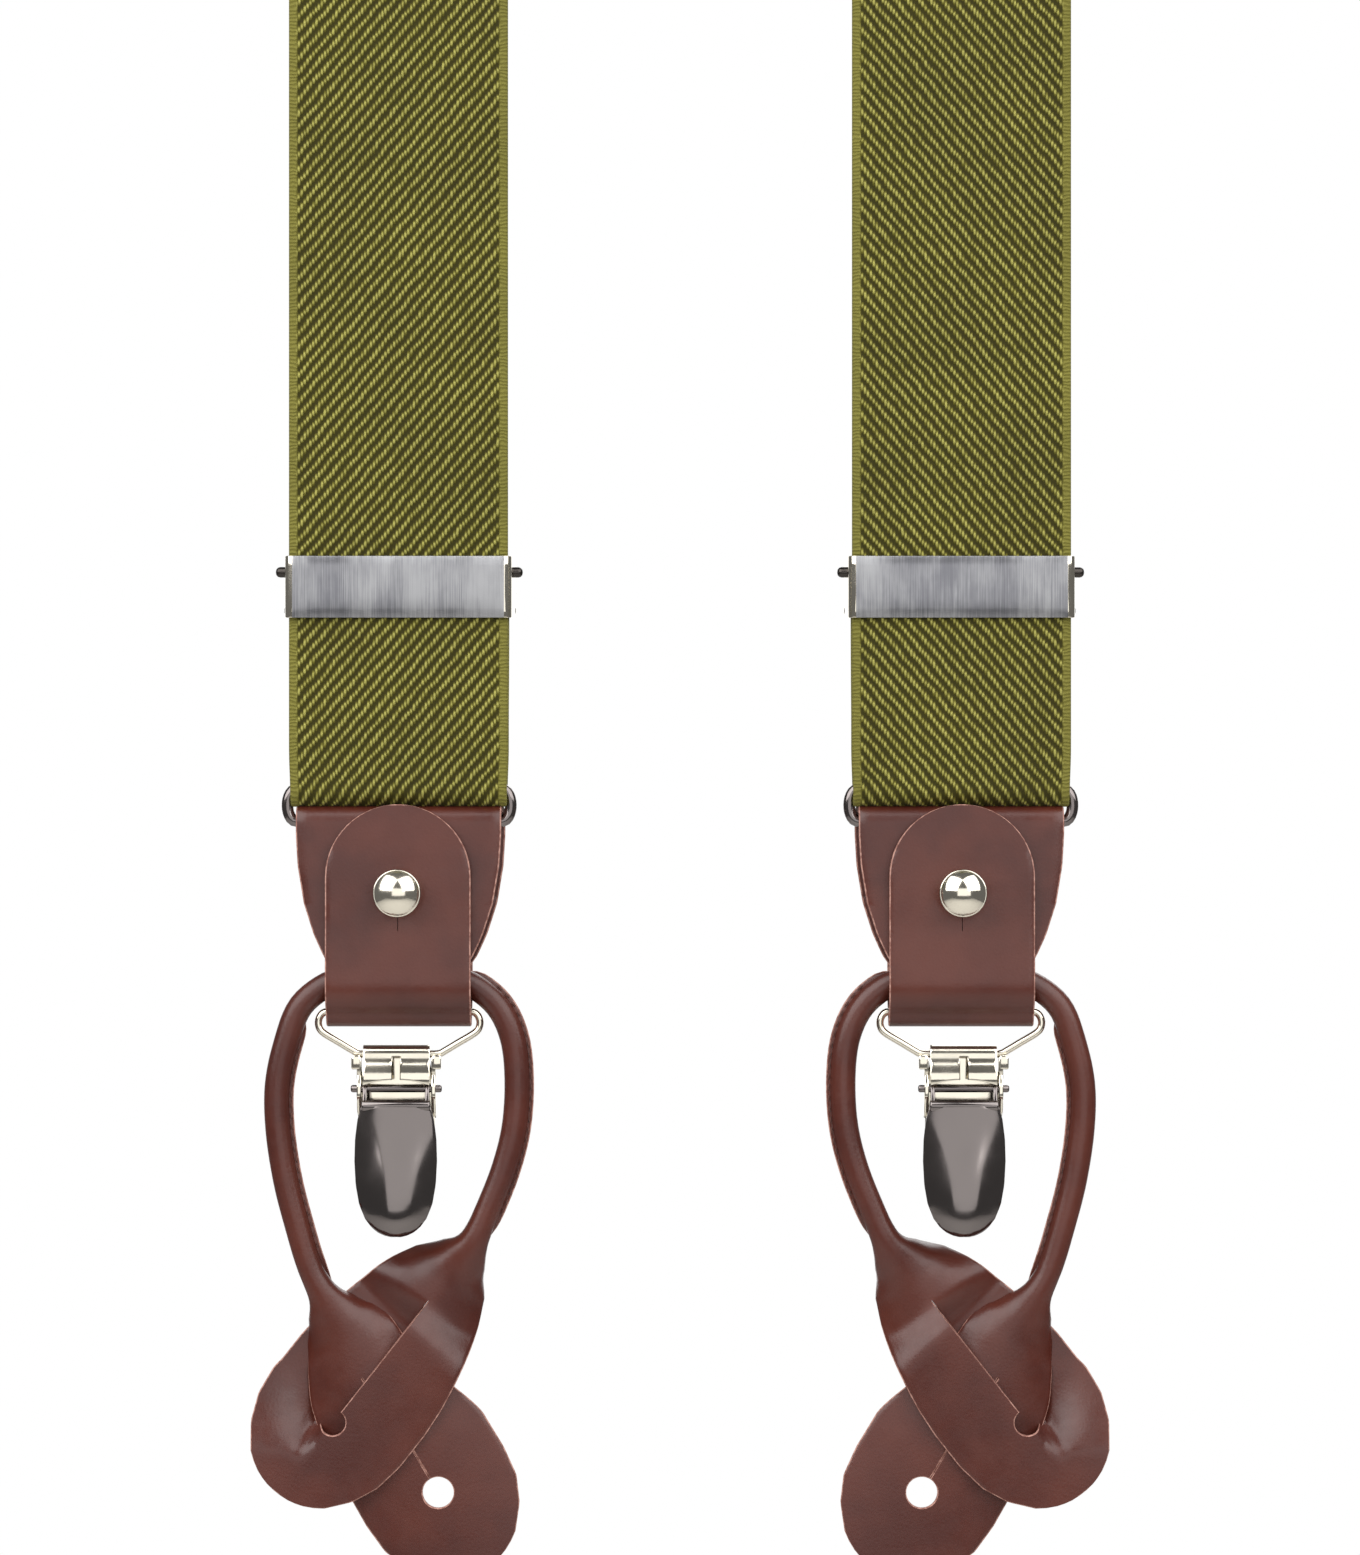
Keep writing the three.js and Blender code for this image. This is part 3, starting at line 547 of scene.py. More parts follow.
# The webbing is drawn in a little where it passes round the ring.
def gatheredShare(z):
    loss = 1 - fold["width"] / layout["webWidth"]
    return 1 - (1 - smoothStep(z, fold["gatherTo"], fold["plainFrom"])) * loss


# Webbing along a (y, z) route. Distances for the weave count from patternStart, and sideShift leads it off to one side.
def makeStrapShape(route, rows, patternStart, sideShift=lambda d: 0):
    bm = makeBlank(rows, lambda along: layout["webWidth"] / 2, 20, layout["webThickness"])
    softenRims(bm, 0.42, 3)
    uv = bm.loops.layers.uv.new("strap")
    for face in bm.faces:
        for corner in face.loops:
            corner[uv].uv = (corner.vert.co.x, corner.vert.co.y - patternStart)

    def placeOf(x, along, depth):
        at = pointOn(route, along)
        way = directionOn(route, along)
        lean = math.atan(sideShift(along + 0.5) - sideShift(along - 0.5))
        across = x * gatheredShare(at.y)
        back = -across * math.sin(lean)
        return Vector((sideShift(along) + across * math.cos(lean), at.x - way.y * depth + way.x * back,
                       at.y + way.x * depth + way.y * back))

    bendBlank(bm, placeOf)
    return bm


def spread(start, end, step):
    count = max(round(abs(end - start) / step), 1)
    return [start + (end - start) * i / count for i in range(count + 1)]


# How far a front strap has moved over towards the middle of the back.
def frontShift(distance):
    part = max((distance - frontStrap["bendFrom"]) / frontStrap["bendLength"], 0)
    return frontStrap["inset"] * part ** frontStrap["bendPower"]


def foldPoints(fromDegrees=0, toDegrees=-180):
    steps = round(abs(toDegrees - fromDegrees) / 9)
    return arcOf((fold["radius"], fold["centreZ"]), fold["radius"], fromDegrees, toDegrees, steps)


# Each front strap starts under the ring, climbs the front and comes down behind.
def buildFrontStraps():
    s = frontStrap
    archY = layout["archRadius"]
    arch = arcOf((archY, s["straight"]), archY, 180, 0, 40)
    route = makeRoute([*foldPoints(-90, -180), *arch, (2 * archY, s["straight"] - s["drop"])])
    rise = s["straight"] - fold["centreZ"] + fold["radius"] * math.pi / 2
    archEnd = rise + math.pi * archY
    rows = [0]
    for toDistance, step in ((4.2, 0.6), (18, 1), (rise, 4), (archEnd, 1.6), (route["total"], 3)):
        rows += spread(rows[-1], toDistance, step)[1:]
    shape = makeStrapShape(route, rows, 0, frontShift)
    for side, x in (("left", -1), ("right", 1)):
        piece = addPiece("frontStrap", shape, side, [webbing], None, "webbing",
                         [f"front_strap_{side}", f"strap_end_{side}"])
        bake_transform(piece)


hem = {
    "y": 5, "z": 30.9, "radius": 1.75, "tuck": 6, "stitchY": 7.02, "stitchZ": 24.6, "blendFrom": 23, "blendTo": 5,
    "run": [(6.75, 26.5), (5.6, 20), (4.25, 14.5), (4.1, 11)],
}
hemStitch = {"x": 15.5, "pitch": 2.4, "radius": 0.24, "proud": 0.87}


# The run that comes back up behind from the ring to the adjuster's bar, hemmed round it.
def buildReturnRuns():
    h = hem
    points = [(h["y"] - h["radius"], h["z"] - h["tuck"]), *arcOf((h["y"], h["z"]), h["radius"], 180, 0, 16)]
    route = makeRoute([*points, *h["run"], *foldPoints(0, -90)])
    shape = makeStrapShape(route, spread(0, route["total"], 0.7), route["total"])
    stitches = makeHemStitches(h["stitchY"], h["stitchZ"])
    for side, x in (("left", -1), ("right", 1)):
        piece = addPiece("returnRun", shape, side, [webbing], None, "webbing")
        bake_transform(piece)
        addPiece("hemStitching", stitches, side, [oliveThread], f"adjuster_{side}", "webbing")


backStrap = {"top": 178, "endZ": 24, "foldLength": 34, "seams": (21, 18)}


# The strap at the back: its end is turned up round the ring and sewn to itself.
def buildBackStrap():
    b = backStrap
    route = makeRoute([(2 * fold["radius"], b["endZ"]), *foldPoints(), (0, b["top"])])
    rows = spread(0, b["foldLength"], 0.8) + spread(b["foldLength"], route["total"], 4)[1:]
    shape = makeStrapShape(route, rows, b["foldLength"])
    piece = addPiece("backStrap", shape, "rear", [webbing], "root", "webbing", ["back_strap"])
    faces = (2 * fold["radius"] + hemStitch["proud"], -hemStitch["proud"])
    rows = [makeHemStitches(y, z) for y in faces for z in b["seams"]]
    addPiece("backHemStitching", joinShapes(*rows), "rear", [oliveThread], "root", "webbing")


# A row of stitches along (x, y, z) points: short lengths of thread, each a long bead.
def makeStitches(points, pitch, radius, share=0.72):
    route = makeRoute(points)
    bm = bmesh.new()
    count = max(int(route["total"] / pitch), 1)
    for i in range(count):
        distance = (i + 0.5) * route["total"] / count
        way = directionOn(route, distance)
        matrix = Matrix.Translation(pointOn(route, distance)) @ way.to_track_quat("Z", "Y").to_matrix().to_4x4()
        bead = Matrix.Diagonal((radius, radius, pitch * share / 2, 1))
        bmesh.ops.create_uvsphere(bm, u_segments=6, v_segments=5, radius=1, matrix=matrix @ bead)
    return bm


def makeHemStitches(y, z):
    h = hemStitch
    return makeStitches([(-h["x"], y, z), (h["x"], y, z)], h["pitch"], h["radius"])


patch = {
    "notch": (0, -92),
    "right": [(4, -85.2), (42.4, -96.2), (41, -105), (38, -112), (30, -120), (24.5, -126), (21, -134), (20.2, -142),
              (19.6, -145.4), (18, -146.8), (15, -147)],
    "thickness": 1.5, "gap": 0.25, "bevel": 0.3, "seamInset": 2.6, "seamPitch": 2.6, "threadRadius": 0.3, "proud": 0.08,
}


# Two patches of hide, sewn together all round, hold the three straps between them.
def buildPatch():
    p = patch
    ring = [p["notch"], *p["right"], *[(-x, z) for x, z in reversed(p["right"])]]
    seam = [Vector((x, z)) for x, z in ring]
    inset = []
    for i, at in enumerate(seam):
        before, after = seam[i - 1], seam[(i + 1) % len(seam)]
        turn = ((at - before).normalized() + (after - at).normalized()).normalized()
        inset.append(at + Vector((turn.y, -turn.x)) * p["seamInset"])
    for name, faceSign, node in (("patchOuter", 1, "patch_outer"), ("patchInner", -1, "patch_inner")):
        middle = layout["archRadius"] + faceSign * (layout["webThickness"] / 2 + p["gap"] + p["thickness"] / 2)
        bm = drawnOut([(x, z, -p["thickness"] / 2) for x, z in ring], (0, 0, p["thickness"]))
        softenRims(bm, p["bevel"], 3)
        markCutEdges(bm)
        bendBlank(bm, lambda x, z, depth: Vector((x, middle + depth, z)))
        addPiece(name, bm, "whole", [leather, cutEdge], "root", "leather", [node])
        surface = middle + faceSign * (p["thickness"] / 2 + p["proud"])
        stitches = makeStitches([(at.x, surface, at.y) for at in [*inset, inset[0]]], p["seamPitch"], p["threadRadius"])
        addPiece(name + "Stitching", stitches, "whole", [brownThread], "root", "leather")


# Bends a blank along a (y, z) route. Its face is on the side that outward gives, dish sinks its front run, and lean
# moves it sideways.
def bentStrip(shape, route, outward, dish=None, lean=lambda y: 0):
    def placeOf(x, along, depth):
        at = pointOn(route, along)
        way = directionOn(route, along, 0.7)
        sink = dish(x, at.y) if dish and at.x < ringPlaneY else 0
        y = at.x - outward * way.y * depth + sink
        return Vector((x + lean(at.x), y, at.y + outward * way.x * depth))

    bendBlank(shape, placeOf)


# The distance along a route's front or back run at which it is at height z.
def distanceAt(route, z, front=True):
    best = [d for d in np.arange(0, route["total"], 0.1) if (pointOn(route, d).x < ringPlaneY) == front]
    return min(best, key=lambda d: abs(pointOn(route, d).y - z))


holder = {
    "thickness": 1.3, "topZ": -2.9, "topRadius": 1.95, "tunnelZ": -28.9, "tunnelRadius": 2.95, "backShift": 0.55,
    "seam": (4.55, -15),
    "halfWidth": [(-36, 8.4), (-30, 8.4), (-27.5, 9.8), (-24.5, 11.9), (-21, 13.5), (-16, 15.1), (-10, 16.1),
                  (-5, 16.4), (2, 16.4)],
}
stud = {
    "z": -14.3, "hole": 1.75, "backY": 7.05, "screwGap": 0.3, "rim": 3.8, "rimRadius": 0.18, "ball": 3.58, "top": 14.9,
    "capHeight": 1.75,
    "neck": [(0, 0.2), (1.3, 0.2), (1.5, 0.4), (1.5, 10.15), (2.3, 10.35), (3.2, 10.9), (3.5, 11.7)],
    "screw": [(0, 0), (3.3, 0), (3.65, 0.12), (3.8, 0.4), (3.8, 0.85), (3.6, 1.15), (3.2, 1.3), (0.9, 1.3),
              (0.9, 0.75), (0, 0.75)],
}


# A strip of hide folded round the ring above and the loop's tunnel below, with its ends meeting behind.
def buildHolder():
    h = holder
    points = [h["seam"], *arcOf((ringPlaneY, h["tunnelZ"]), h["tunnelRadius"], 0, -180, 24)]
    points += arcOf((ringPlaneY, h["topZ"]), h["topRadius"], 180, 0, 20)
    route = makeRoute(points, closed=True)
    cutRoute = makeRoute([*points, h["seam"]])
    rows = spread(0.01, cutRoute["total"] - 0.02, 0.8)
    shape = makeBlank(rows, lambda d: tableValue(h["halfWidth"], pointOn(cutRoute, d).y), 20, h["thickness"], True)
    shape = punch(shape, [holeCutter(distanceAt(cutRoute, stud["z"]), stud["hole"], h["thickness"])])
    markCutEdges(shape)
    bentStrip(shape, route, 1, lean=lambda y: h["backShift"] * smoothStep(y, 1.5, 3.5))
    return shape


tab = {
    "thickness": 1.5, "halfWidth": 11.6, "front": [(-1.55, -0.2), (-1.65, -3), (-2, -12), (-2.05, -20)],
    "wrapRadius": 4.6, "wrapTurn": 68, "foldRadius": 1.7, "bailZ": -33.45, "slit": (-15.6, -20.4), "slitWidth": 0.12,
    "backTop": (5.95, -7), "cornerRadius": 5, "dishDepth": 0.28, "dishArea": 22,
}


# The tab that the clip hangs from: a strip round the holder and the bail, buttoned on the stud in front and behind.
def buildTab():
    t = tab
    points = [*t["front"], *arcOf((ringPlaneY, holder["tunnelZ"]), t["wrapRadius"], 170, 180 + t["wrapTurn"], 12)]
    points += arcOf((ringPlaneY, t["bailZ"]), t["foldRadius"], 190, 350, 14)
    points += arcOf((ringPlaneY, holder["tunnelZ"]), t["wrapRadius"], 360 - t["wrapTurn"], 360, 10)
    points.append(t["backTop"])
    dense = makeRoute(points)
    chain = [pointOn(dense, d) for d in spread(0, dense["total"], 0.5)]
    for _ in range(3):
        chain = [chain[0], *[(a + 2 * b + c) / 4 for a, b, c in zip(chain, chain[1:], chain[2:])], chain[-1]]
    route = makeRoute(chain)
    half, corner, cornerStart = t["halfWidth"], t["cornerRadius"], route["total"] - t["cornerRadius"]

    def halfWidthAt(d):
        top = math.sqrt(max(half**2 - max(half - d, 0) ** 2, 0.3))
        end = half - corner + math.sqrt(max(corner**2 - max(d - cornerStart, 0) ** 2, 0))
        return min(top, end)

    rows = [half * (1 - math.cos(math.pi / 2 * i / 14)) for i in range(3, 15)]
    rows = [0.01, 0.15, 0.3, *rows, *spread(half, cornerStart, 0.7)[1:]]
    rows += [cornerStart + corner * math.sin(math.pi / 2 * i / 6) for i in range(1, 7)]
    shape = makeBlank(rows, halfWidthAt, 24, t["thickness"], True)
    slitTop, slitEnd = [distanceAt(route, z) for z in t["slit"]]
    cutters = [holeCutter(distanceAt(route, stud["z"], front), stud["hole"], t["thickness"]) for front in (True, False)]
    shape = punch(shape, [*cutters, slitCutter(slitTop, slitEnd, t["slitWidth"], 8 * t["thickness"])])
    markCutEdges(shape)
    # the stud's rim presses the hide in a little
    bentStrip(shape, route, -1, lambda x, z: t["dishDepth"] * math.exp(-(x * x + (z - stud["z"]) ** 2) / t["dishArea"]))
    return shape


# A ball-topped button stud with a thin rim, and the flat screw head behind it.
def buildStud():
    s = stud
    capAngle = 2 * math.atan(s["capHeight"] / s["ball"])
    capRadius = s["ball"] / math.sin(capAngle)
    turns = [capAngle * (1 - i / 16) for i in range(17)]
    cap = [(capRadius * math.sin(t), s["top"] - capRadius * (1 - math.cos(t))) for t in turns]
    lipRadius, lipAt = s["rimRadius"], s["top"] - s["capHeight"] - 0.2
    lip = [(s["rim"] - lipRadius + lipRadius * math.cos(t), lipAt + lipRadius * math.sin(t))
           for t in np.linspace(-1.5, 2, 8)]
    head, screw = turned([*s["neck"], *lip, *cap]), turned(s["screw"])
    for bm, quarterTurn, y in ((head, math.pi / 2, s["backY"]), (screw, -math.pi / 2, s["backY"] + s["screwGap"])):
        bmesh.ops.rotate(bm, verts=bm.verts, matrix=Matrix.Rotation(quarterTurn, 3, "X"))
        bmesh.ops.translate(bm, verts=bm.verts, vec=(0, y, s["z"]))
    return head, screw


loop = {
    "thickness": 1.2, "roll": 1.45, "seamAngle": 2.75, "twist": 1.0, "tip": 14.3, "hole": 2.1, "backOpening": 2.5,
    "frontHole": (-10.5, -98.9), "frontWay": (0.62, 0.785), "backHole": (6.3, -110.3), "backWay": (-0.508, 0.861),
    "slit": 24.5, "slitWidth": 0.06, "backSlit": 22, "backSlitWidth": 0.1, "backLean": 1.2, "frontLean": 0.3,
    "inFront": 2.5, "behind": 2.5, "frontRidge": 0.4, "backRidge": 1.0, "maxHalfWidth": 13, "tunnelLoss": 1.25,
    "seamQ": 4.75, "seamDepth": 0.68, "seamPitch": 1.7, "threadRadius": 0.17, "stitchShare": 0.62,
    "route": [(11.6, -70.6), (14.6, -64.2), (17, -57.9), (18.5, -51.5), (18.9, -44.3), (18.2, -37.8), (15.9, -32.7),
              (11.9, -29.3), (8.4, -28.3), (4, -28), (0, -28), (-4, -28), (-8.4, -28.3), (-11.9, -29.3),
              (-15.9, -32.7), (-18.1, -38.4), (-19.5, -45.1), (-19.4, -52.3), (-18.2, -60.3), (-16.4, -67.4),
              (-14.2, -74.6)],
    "frontWidth": [(-14.3, 0.6), (-14.2, 1.9), (-13.9, 3.2), (-13.4, 4.6), (-12.6, 6.1), (-11.6, 7.5), (-8, 10.4),
                   (-3.9, 12.2), (1, 12.9), (7.4, 12.9), (12, 12.5), (16, 11.8), (20, 10.9), (24, 9.9), (28, 8.8),
                   (31, 7.8), (34, 6.5), (36.5, 5.6), (39, 5.2)],
    "backWidth": [(-14.3, 0.6), (-14.2, 1.9), (-13.9, 3.2), (-13.4, 4.6), (-12.6, 6.1), (-11.6, 7.5), (-8, 10.4),
                  (-3.9, 12.2), (1, 12.7), (7.4, 12.6), (12, 11.6), (17, 10.6), (21.7, 9.7), (27, 8.3), (31, 7.4),
                  (34.5, 6.6), (37.5, 5.6), (40, 5.2)],
    "frontCurl": [(-15, 0.008), (18, 0.01), (22, 0.03), (26, 0.07), (30, 0.14), (34, 0.3), (37, 0.58), (39.5, 0.69)],
    "backCurl": [(-15, 0.008), (6, 0.012), (14, 0.02), (20, 0.034), (27, 0.075), (31, 0.15), (34.5, 0.3),
                 (37.5, 0.58), (40, 0.69)],
}


# The centre line, from the tip of the front tab over the tunnel to the tip of the back one.
def loopRoute():
    frontTab, backTab = [
        [Vector(loop[name + "Hole"]) + Vector(loop[name + "Way"]).normalized() * a for a in places]
        for name, places in (("front", (-14.3, -8, 0, 8, 16, 24, 31)), ("back", (35, 28, 20, 12, 0, -8, -14.3)))
    ]
    return makeRoute(smoothThrough([*frontTab, *loop["route"], *backTab], perSpan=8))


# How far the front tab's halves stand apart: q > 0 goes behind the other tab and the rest lies in front of it.
def weaveDepth(a, q):
    toNeck = 1 - smoothStep(a, 19, loop["slit"])
    if q < 0 or (a < 0 and q == 0):
        return -loop["inFront"] * toNeck
    fromHole = smoothStep(q, 0, loop["hole"]) if a < 0 else 1
    outward = max(q - 3, 0)
    swing = fromHole * smoothStep(a, -8.5 - 0.9 * outward, -0.7 + 1.2 * outward)
    return (-loop["inFront"] + (loop["inFront"] + loop["behind"]) * swing) * toNeck


# Where a point of the flat blank goes, q across and s along: the sheet is flat at the tabs and rolled up between them.
def placeOnLoop(route, q, s, depth):
    frontA = s - loop["tip"]
    backA = route["total"] - loop["tip"] - s
    atFront = s < route["total"] / 2
    curl = tableValue(loop["frontCurl"], frontA) if atFront else tableValue(loop["backCurl"], backA)
    neckA = frontA if atFront else backA
    rolled = smoothStep(neckA, 28, 38)
    ridge = loop["frontRidge" if atFront else "backRidge"] * (1 - rolled) + loop["roll"] * rolled
    fromTop = (s - route["total"] / 2) / 14
    twist = loop["twist"] * smoothStep(neckA, 34, 44) * math.copysign(smoothStep(abs(fromTop), 0.4, 1.6), fromTop)
    angle = curl * q
    limit = loop["seamAngle"]
    if abs(angle) <= limit:
        across, down = math.sin(angle) / curl, (1 - math.cos(angle)) / curl
        normal = (math.sin(angle), -math.cos(angle))
    else:
        # past the roll the two edges stand out beside each other as a sewn lip
        sign = math.copysign(1, q)
        lip = abs(q) - limit / curl
        across = sign * (math.sin(limit) / curl + math.sin(limit) * lip)
        down = (1 - math.cos(limit)) / curl - math.cos(limit) * lip
        normal = (-sign * math.cos(limit), -math.sin(limit))
    across += normal[0] * depth
    down += normal[1] * depth - ridge
    cos, sin = math.cos(twist), math.sin(twist)
    across, down = across * cos + down * sin, down * cos - across * sin
    if atFront:
        down += weaveDepth(frontA, q)
        if q > 0:
            across -= loop["frontLean"] * smoothStep(frontA, 0, 3) * (1 - smoothStep(frontA, 20, loop["slit"]))
    else:
        across -= loop["backLean"] * smoothStep(backA, 8, 18) * (1 - smoothStep(backA, 22, 30))
    at = pointOn(route, s)
    way = directionOn(route, s, 0.8)
    return Vector((at.x - way.y * across, ringPlaneY + down, at.y + way.x * across))


def buildLoop():
    route = loopRoute()
    total = route["total"]

    def halfWidthAt(s):
        table, a = ("frontWidth", s - loop["tip"]) if s < total / 2 else ("backWidth", total - loop["tip"] - s)
        inTunnel = 1 - smoothStep(abs(s - total / 2), 13, 17)
        return min(tableValue(loop[table], a), loop["maxHalfWidth"]) - inTunnel * loop["tunnelLoss"]

    tipRows = [0.01, 0.15, 0.45, 0.9, 1.7, 2.7]
    rows = [*tipRows, *spread(3.5, 54, 0.75), *spread(54, total - 56, 1.1)[1:]]
    rows += [*spread(total - 56, total - 3.5, 0.75)[1:], *[total - row for row in reversed(tipRows)]]
    shape = makeBlank(rows, halfWidthAt, 34, loop["thickness"], True)
    front, back = loop["tip"], total - loop["tip"]
    shape = punch(shape, [
        holeCutter(front, loop["hole"], loop["thickness"]),
        slitCutter(front + 1.5, front + loop["slit"], loop["slitWidth"], loop["thickness"]),
        holeCutter(back, loop["backOpening"], loop["thickness"]),
        slitCutter(back - loop["backSlit"], back - 1.5, loop["backSlitWidth"], loop["thickness"]),
    ])
    markCutEdges(shape)
    bendBlank(shape, lambda q, s, depth: placeOnLoop(route, q, s, depth))
    seams = []
    for fromS, toS in ((56, total / 2 - 19), (total / 2 + 19, total - 58)):
        for q in (-loop["seamQ"], loop["seamQ"]):
            line = [placeOnLoop(route, q, s, loop["seamDepth"]) for s in spread(fromS, toS, 1)]
            seams.append(makeStitches(line, loop["seamPitch"], loop["threadRadius"], loop["stitchShare"]))
    return shape, joinShapes(*seams)


ringWire = {"radius": 0.95, "straight": 33, "bendX": 1.4, "bendZ": 2.55, "centreZ": -0.35, "steps": 72}
bail = {
    "radius": 0.6, "z": -33.45,
    "half": [(0, 0), (6, 0), (11.3, 0), (12.3, -0.25), (12.85, -1.1), (12.9, -2.2), (12.2, -3.3), (9.4, -5),
             (7.4, -6.2), (6.3, -6.72), (4, -6.75), (1.5, -6.75)],
}


def buildRing():
    r = ringWire
    points = []
    for i in range(r["steps"]):
        t = 2 * math.pi * (i + 0.5) / r["steps"]
        x = math.copysign(r["straight"] / 2, math.cos(t)) + r["bendX"] * math.cos(t)
        points.append((x, ringPlaneY, r["centreZ"] + r["bendZ"] * math.sin(t)))
    return makeWire(points, r["radius"], sides=20)


def buildBail():
    b = bail
    left = [(-x, ringPlaneY, b["z"] + z) for x, z in b["half"]]
    right = [(x, ringPlaneY, b["z"] + z) for x, z in reversed(b["half"][1:])]
    return makeWire(smoothThrough(left + right, closed=True, perSpan=6), b["radius"])


clip = {
    "x": -0.4, "pinY": 0.9, "pinZ": -45.7, "pinRadius": 0.6, "pinLength": 14.6, "wireZ": -40.2,
    "coverTop": -48.4, "coverEnd": -69.3, "bodyTop": -40.4, "bodyEnd": -68.6, "bodyShrink": 0.5, "metal": 0.7,
    "pinRounding": 0.35, "rollRadius": 1.02, "rollLength": 11, "rollY": -0.55, "armX": 5, "armThickness": 0.6,
    "earX": 5.95, "earThickness": 0.7, "lugX": 6.45, "lugThickness": 1.5,
    "arm": [(-1, -49.2), (1, -49.2), (1.9, -46.4), (1.9, -45), (1.4, -44.8), (0.6, -44.8), (0.1, -45.2), (-1, -47.4)],
    "ear": [(4.1, -41.4), (1.6, -40.6), (0.2, -40.6), (0.1, -43), (0.3, -43.4), (-0.3, -44.6), (-0.3, -46.9),
            (0.6, -47.6), (1.4, -49.6), (4.1, -50.6)],
    "lug": [(0.05, -40.3), (1.5, -40.3), (1.5, -42.6), (0.05, -42.6)],
    "outline": [(0, 5.5), (0.1, 6.1), (0.25, 6.5), (0.42, 6.6), (0.6, 6.4), (0.75, 5.85), (0.86, 4.9), (0.93, 3.8),
                (0.97, 2.7), (0.99, 1.7), (1, 0.8)],
}


def clipRows():
    return [0, 0.03, *[0.06 + 0.8 * i / 20 for i in range(20)], 0.86, 0.89, 0.92, 0.945, 0.965, 0.98, 0.99, 0.996, 1]


# A sheet with the clip's outline, pressed to depthAt(u, v), where u runs across from -1 to 1 and v down from 0 to 1.
def pressedSheet(topZ, endZ, shrink, metal, depthAt, columns=24):
    bm = makeBlank(clipRows(), lambda v: 1, columns, 0.002)
    for vert in bm.verts:
        u, v = vert.co.x, vert.co.y
        halfWidth = max(tableValue(clip["outline"], v) - shrink, 0.3)
        side = metal / 2 if vert.co.z > 0 else -metal / 2
        vert.co = Vector((clip["x"] + u * halfWidth, depthAt(u, v) - side, topZ + (endZ - topZ) * v))
    bmesh.ops.recalc_face_normals(bm, faces=bm.faces)
    softenRims(bm, 0.14, 2, 50)
    return bm


def coverDepth(u, v):
    crown = 0.7 + 1.6 * smoothStep(v, 0, 0.72)
    lowerRim = math.sqrt(max(1 - (max(v - 0.8, 0) / 0.2) ** 2, 0))
    return -0.75 - crown * lowerRim * (1 - abs(u) ** 2.1)


# The lever of the clip: a domed shell with its top edge rolled, and two arms to the pin.
def buildCover():
    c = clip
    shell = pressedSheet(c["coverTop"], c["coverEnd"], 0, c["metal"], coverDepth)
    roll = makeRod(c["rollRadius"], c["rollLength"], c["rollY"], c["coverTop"], 0.3, 36, c["x"])
    arms = [makeCheek(c["arm"], c["x"] + side * c["armX"], c["armThickness"]) for side in (-1, 1)]
    return joinShapes(shell, roll, *arms)


def bodyDepth(u, v):
    return 3.75 - 0.35 * (1 - u * u) * math.sin(math.pi * v)


def buildBody():
    c = clip
    back = pressedSheet(c["bodyTop"], c["bodyEnd"], c["bodyShrink"], c["metal"], bodyDepth)
    ears = [makeCheek(c["ear"], c["x"] + side * c["earX"], c["earThickness"], 0.16) for side in (-1, 1)]
    lugs = [makeCheek(c["lug"], c["x"] + side * c["lugX"], c["lugThickness"], 0.28) for side in (-1, 1)]
    return joinShapes(back, *ears, *lugs)


panel = {
    "halfWidth": 5.35, "metal": 0.5, "bevel": 0.12, "slotWidth": 1.2, "slotTop": -40.5, "scoop": 0.9, "scoopLength": 3,
    "wireRadius": 1.2, "leaf": [(0.62, -41.3), (0.2, -42.2), (-0.1, -43.2), (-0.2, -44.2), (0, -45.1)],
}


# The bowed and slotted leaf that wraps the bail's wire and shows above the cover.
def buildPanel():
    p = panel
    wire = arcOf((ringPlaneY, clip["wireZ"]), p["wireRadius"], 20, 175, 14)
    route = makeRoute(smoothThrough([*wire, *p["leaf"]], perSpan=4))
    shape = makeBlank(spread(0, route["total"], 0.3), lambda d: p["halfWidth"], 20, p["metal"])
    shape = punch(shape, [slitCutter(distanceAt(route, p["slotTop"]), route["total"] + 1, p["slotWidth"], p["metal"])])
    softenRims(shape, p["bevel"], 2)
    for vert in shape.verts:
        nearEnd = smoothStep(vert.co.y, route["total"] - p["scoopLength"], route["total"])
        vert.co.y -= p["scoop"] * nearEnd * (1 - (vert.co.x / p["halfWidth"]) ** 2)
    bentStrip(shape, route, 1)
    bmesh.ops.translate(shape, verts=shape.verts, vec=(clip["x"], 0, 0))
    return shape


pad = {"backY": 3.05, "top": -59.5, "end": -67, "crestY": 0.55, "grooveY": 0.9, "pitch": 1, "width": 7.2}


# The ribbed grip in the jaw.
def buildPad():
    p = pad
    ribs = []
    for z in np.arange(-60, p["end"], -p["pitch"]):
        ribs += [(p["grooveY"], z), (p["crestY"], z - p["pitch"] / 2)]
    return makeCheek([(p["backY"], p["top"]), *ribs, (p["backY"], p["end"])], clip["x"], p["width"], 0.08)


adjuster = {
    "width": 36.2, "splay": 0.6, "lowZ": 29.6, "height": 9.9, "metal": 0.5, "frontY": -1.85, "backY": 6.4,
    "corner": 1.2, "bevel": 0.16, "denseReach": 9, "hollow": 0.1, "roll": 0.2,
    "axle": (2.6, 37), "axleRadius": 0.85, "axleLength": 39.6, "bar": (5, 30.9), "barRadius": 0.7, "barLength": 37.2,
}
lever = {"radius": 1.55, "bore": 1.0, "width": 34.4, "flap": [(-0.2, -3.5), (0.6, -3.5), (0.6, -1.3), (-0.2, -1.3)]}


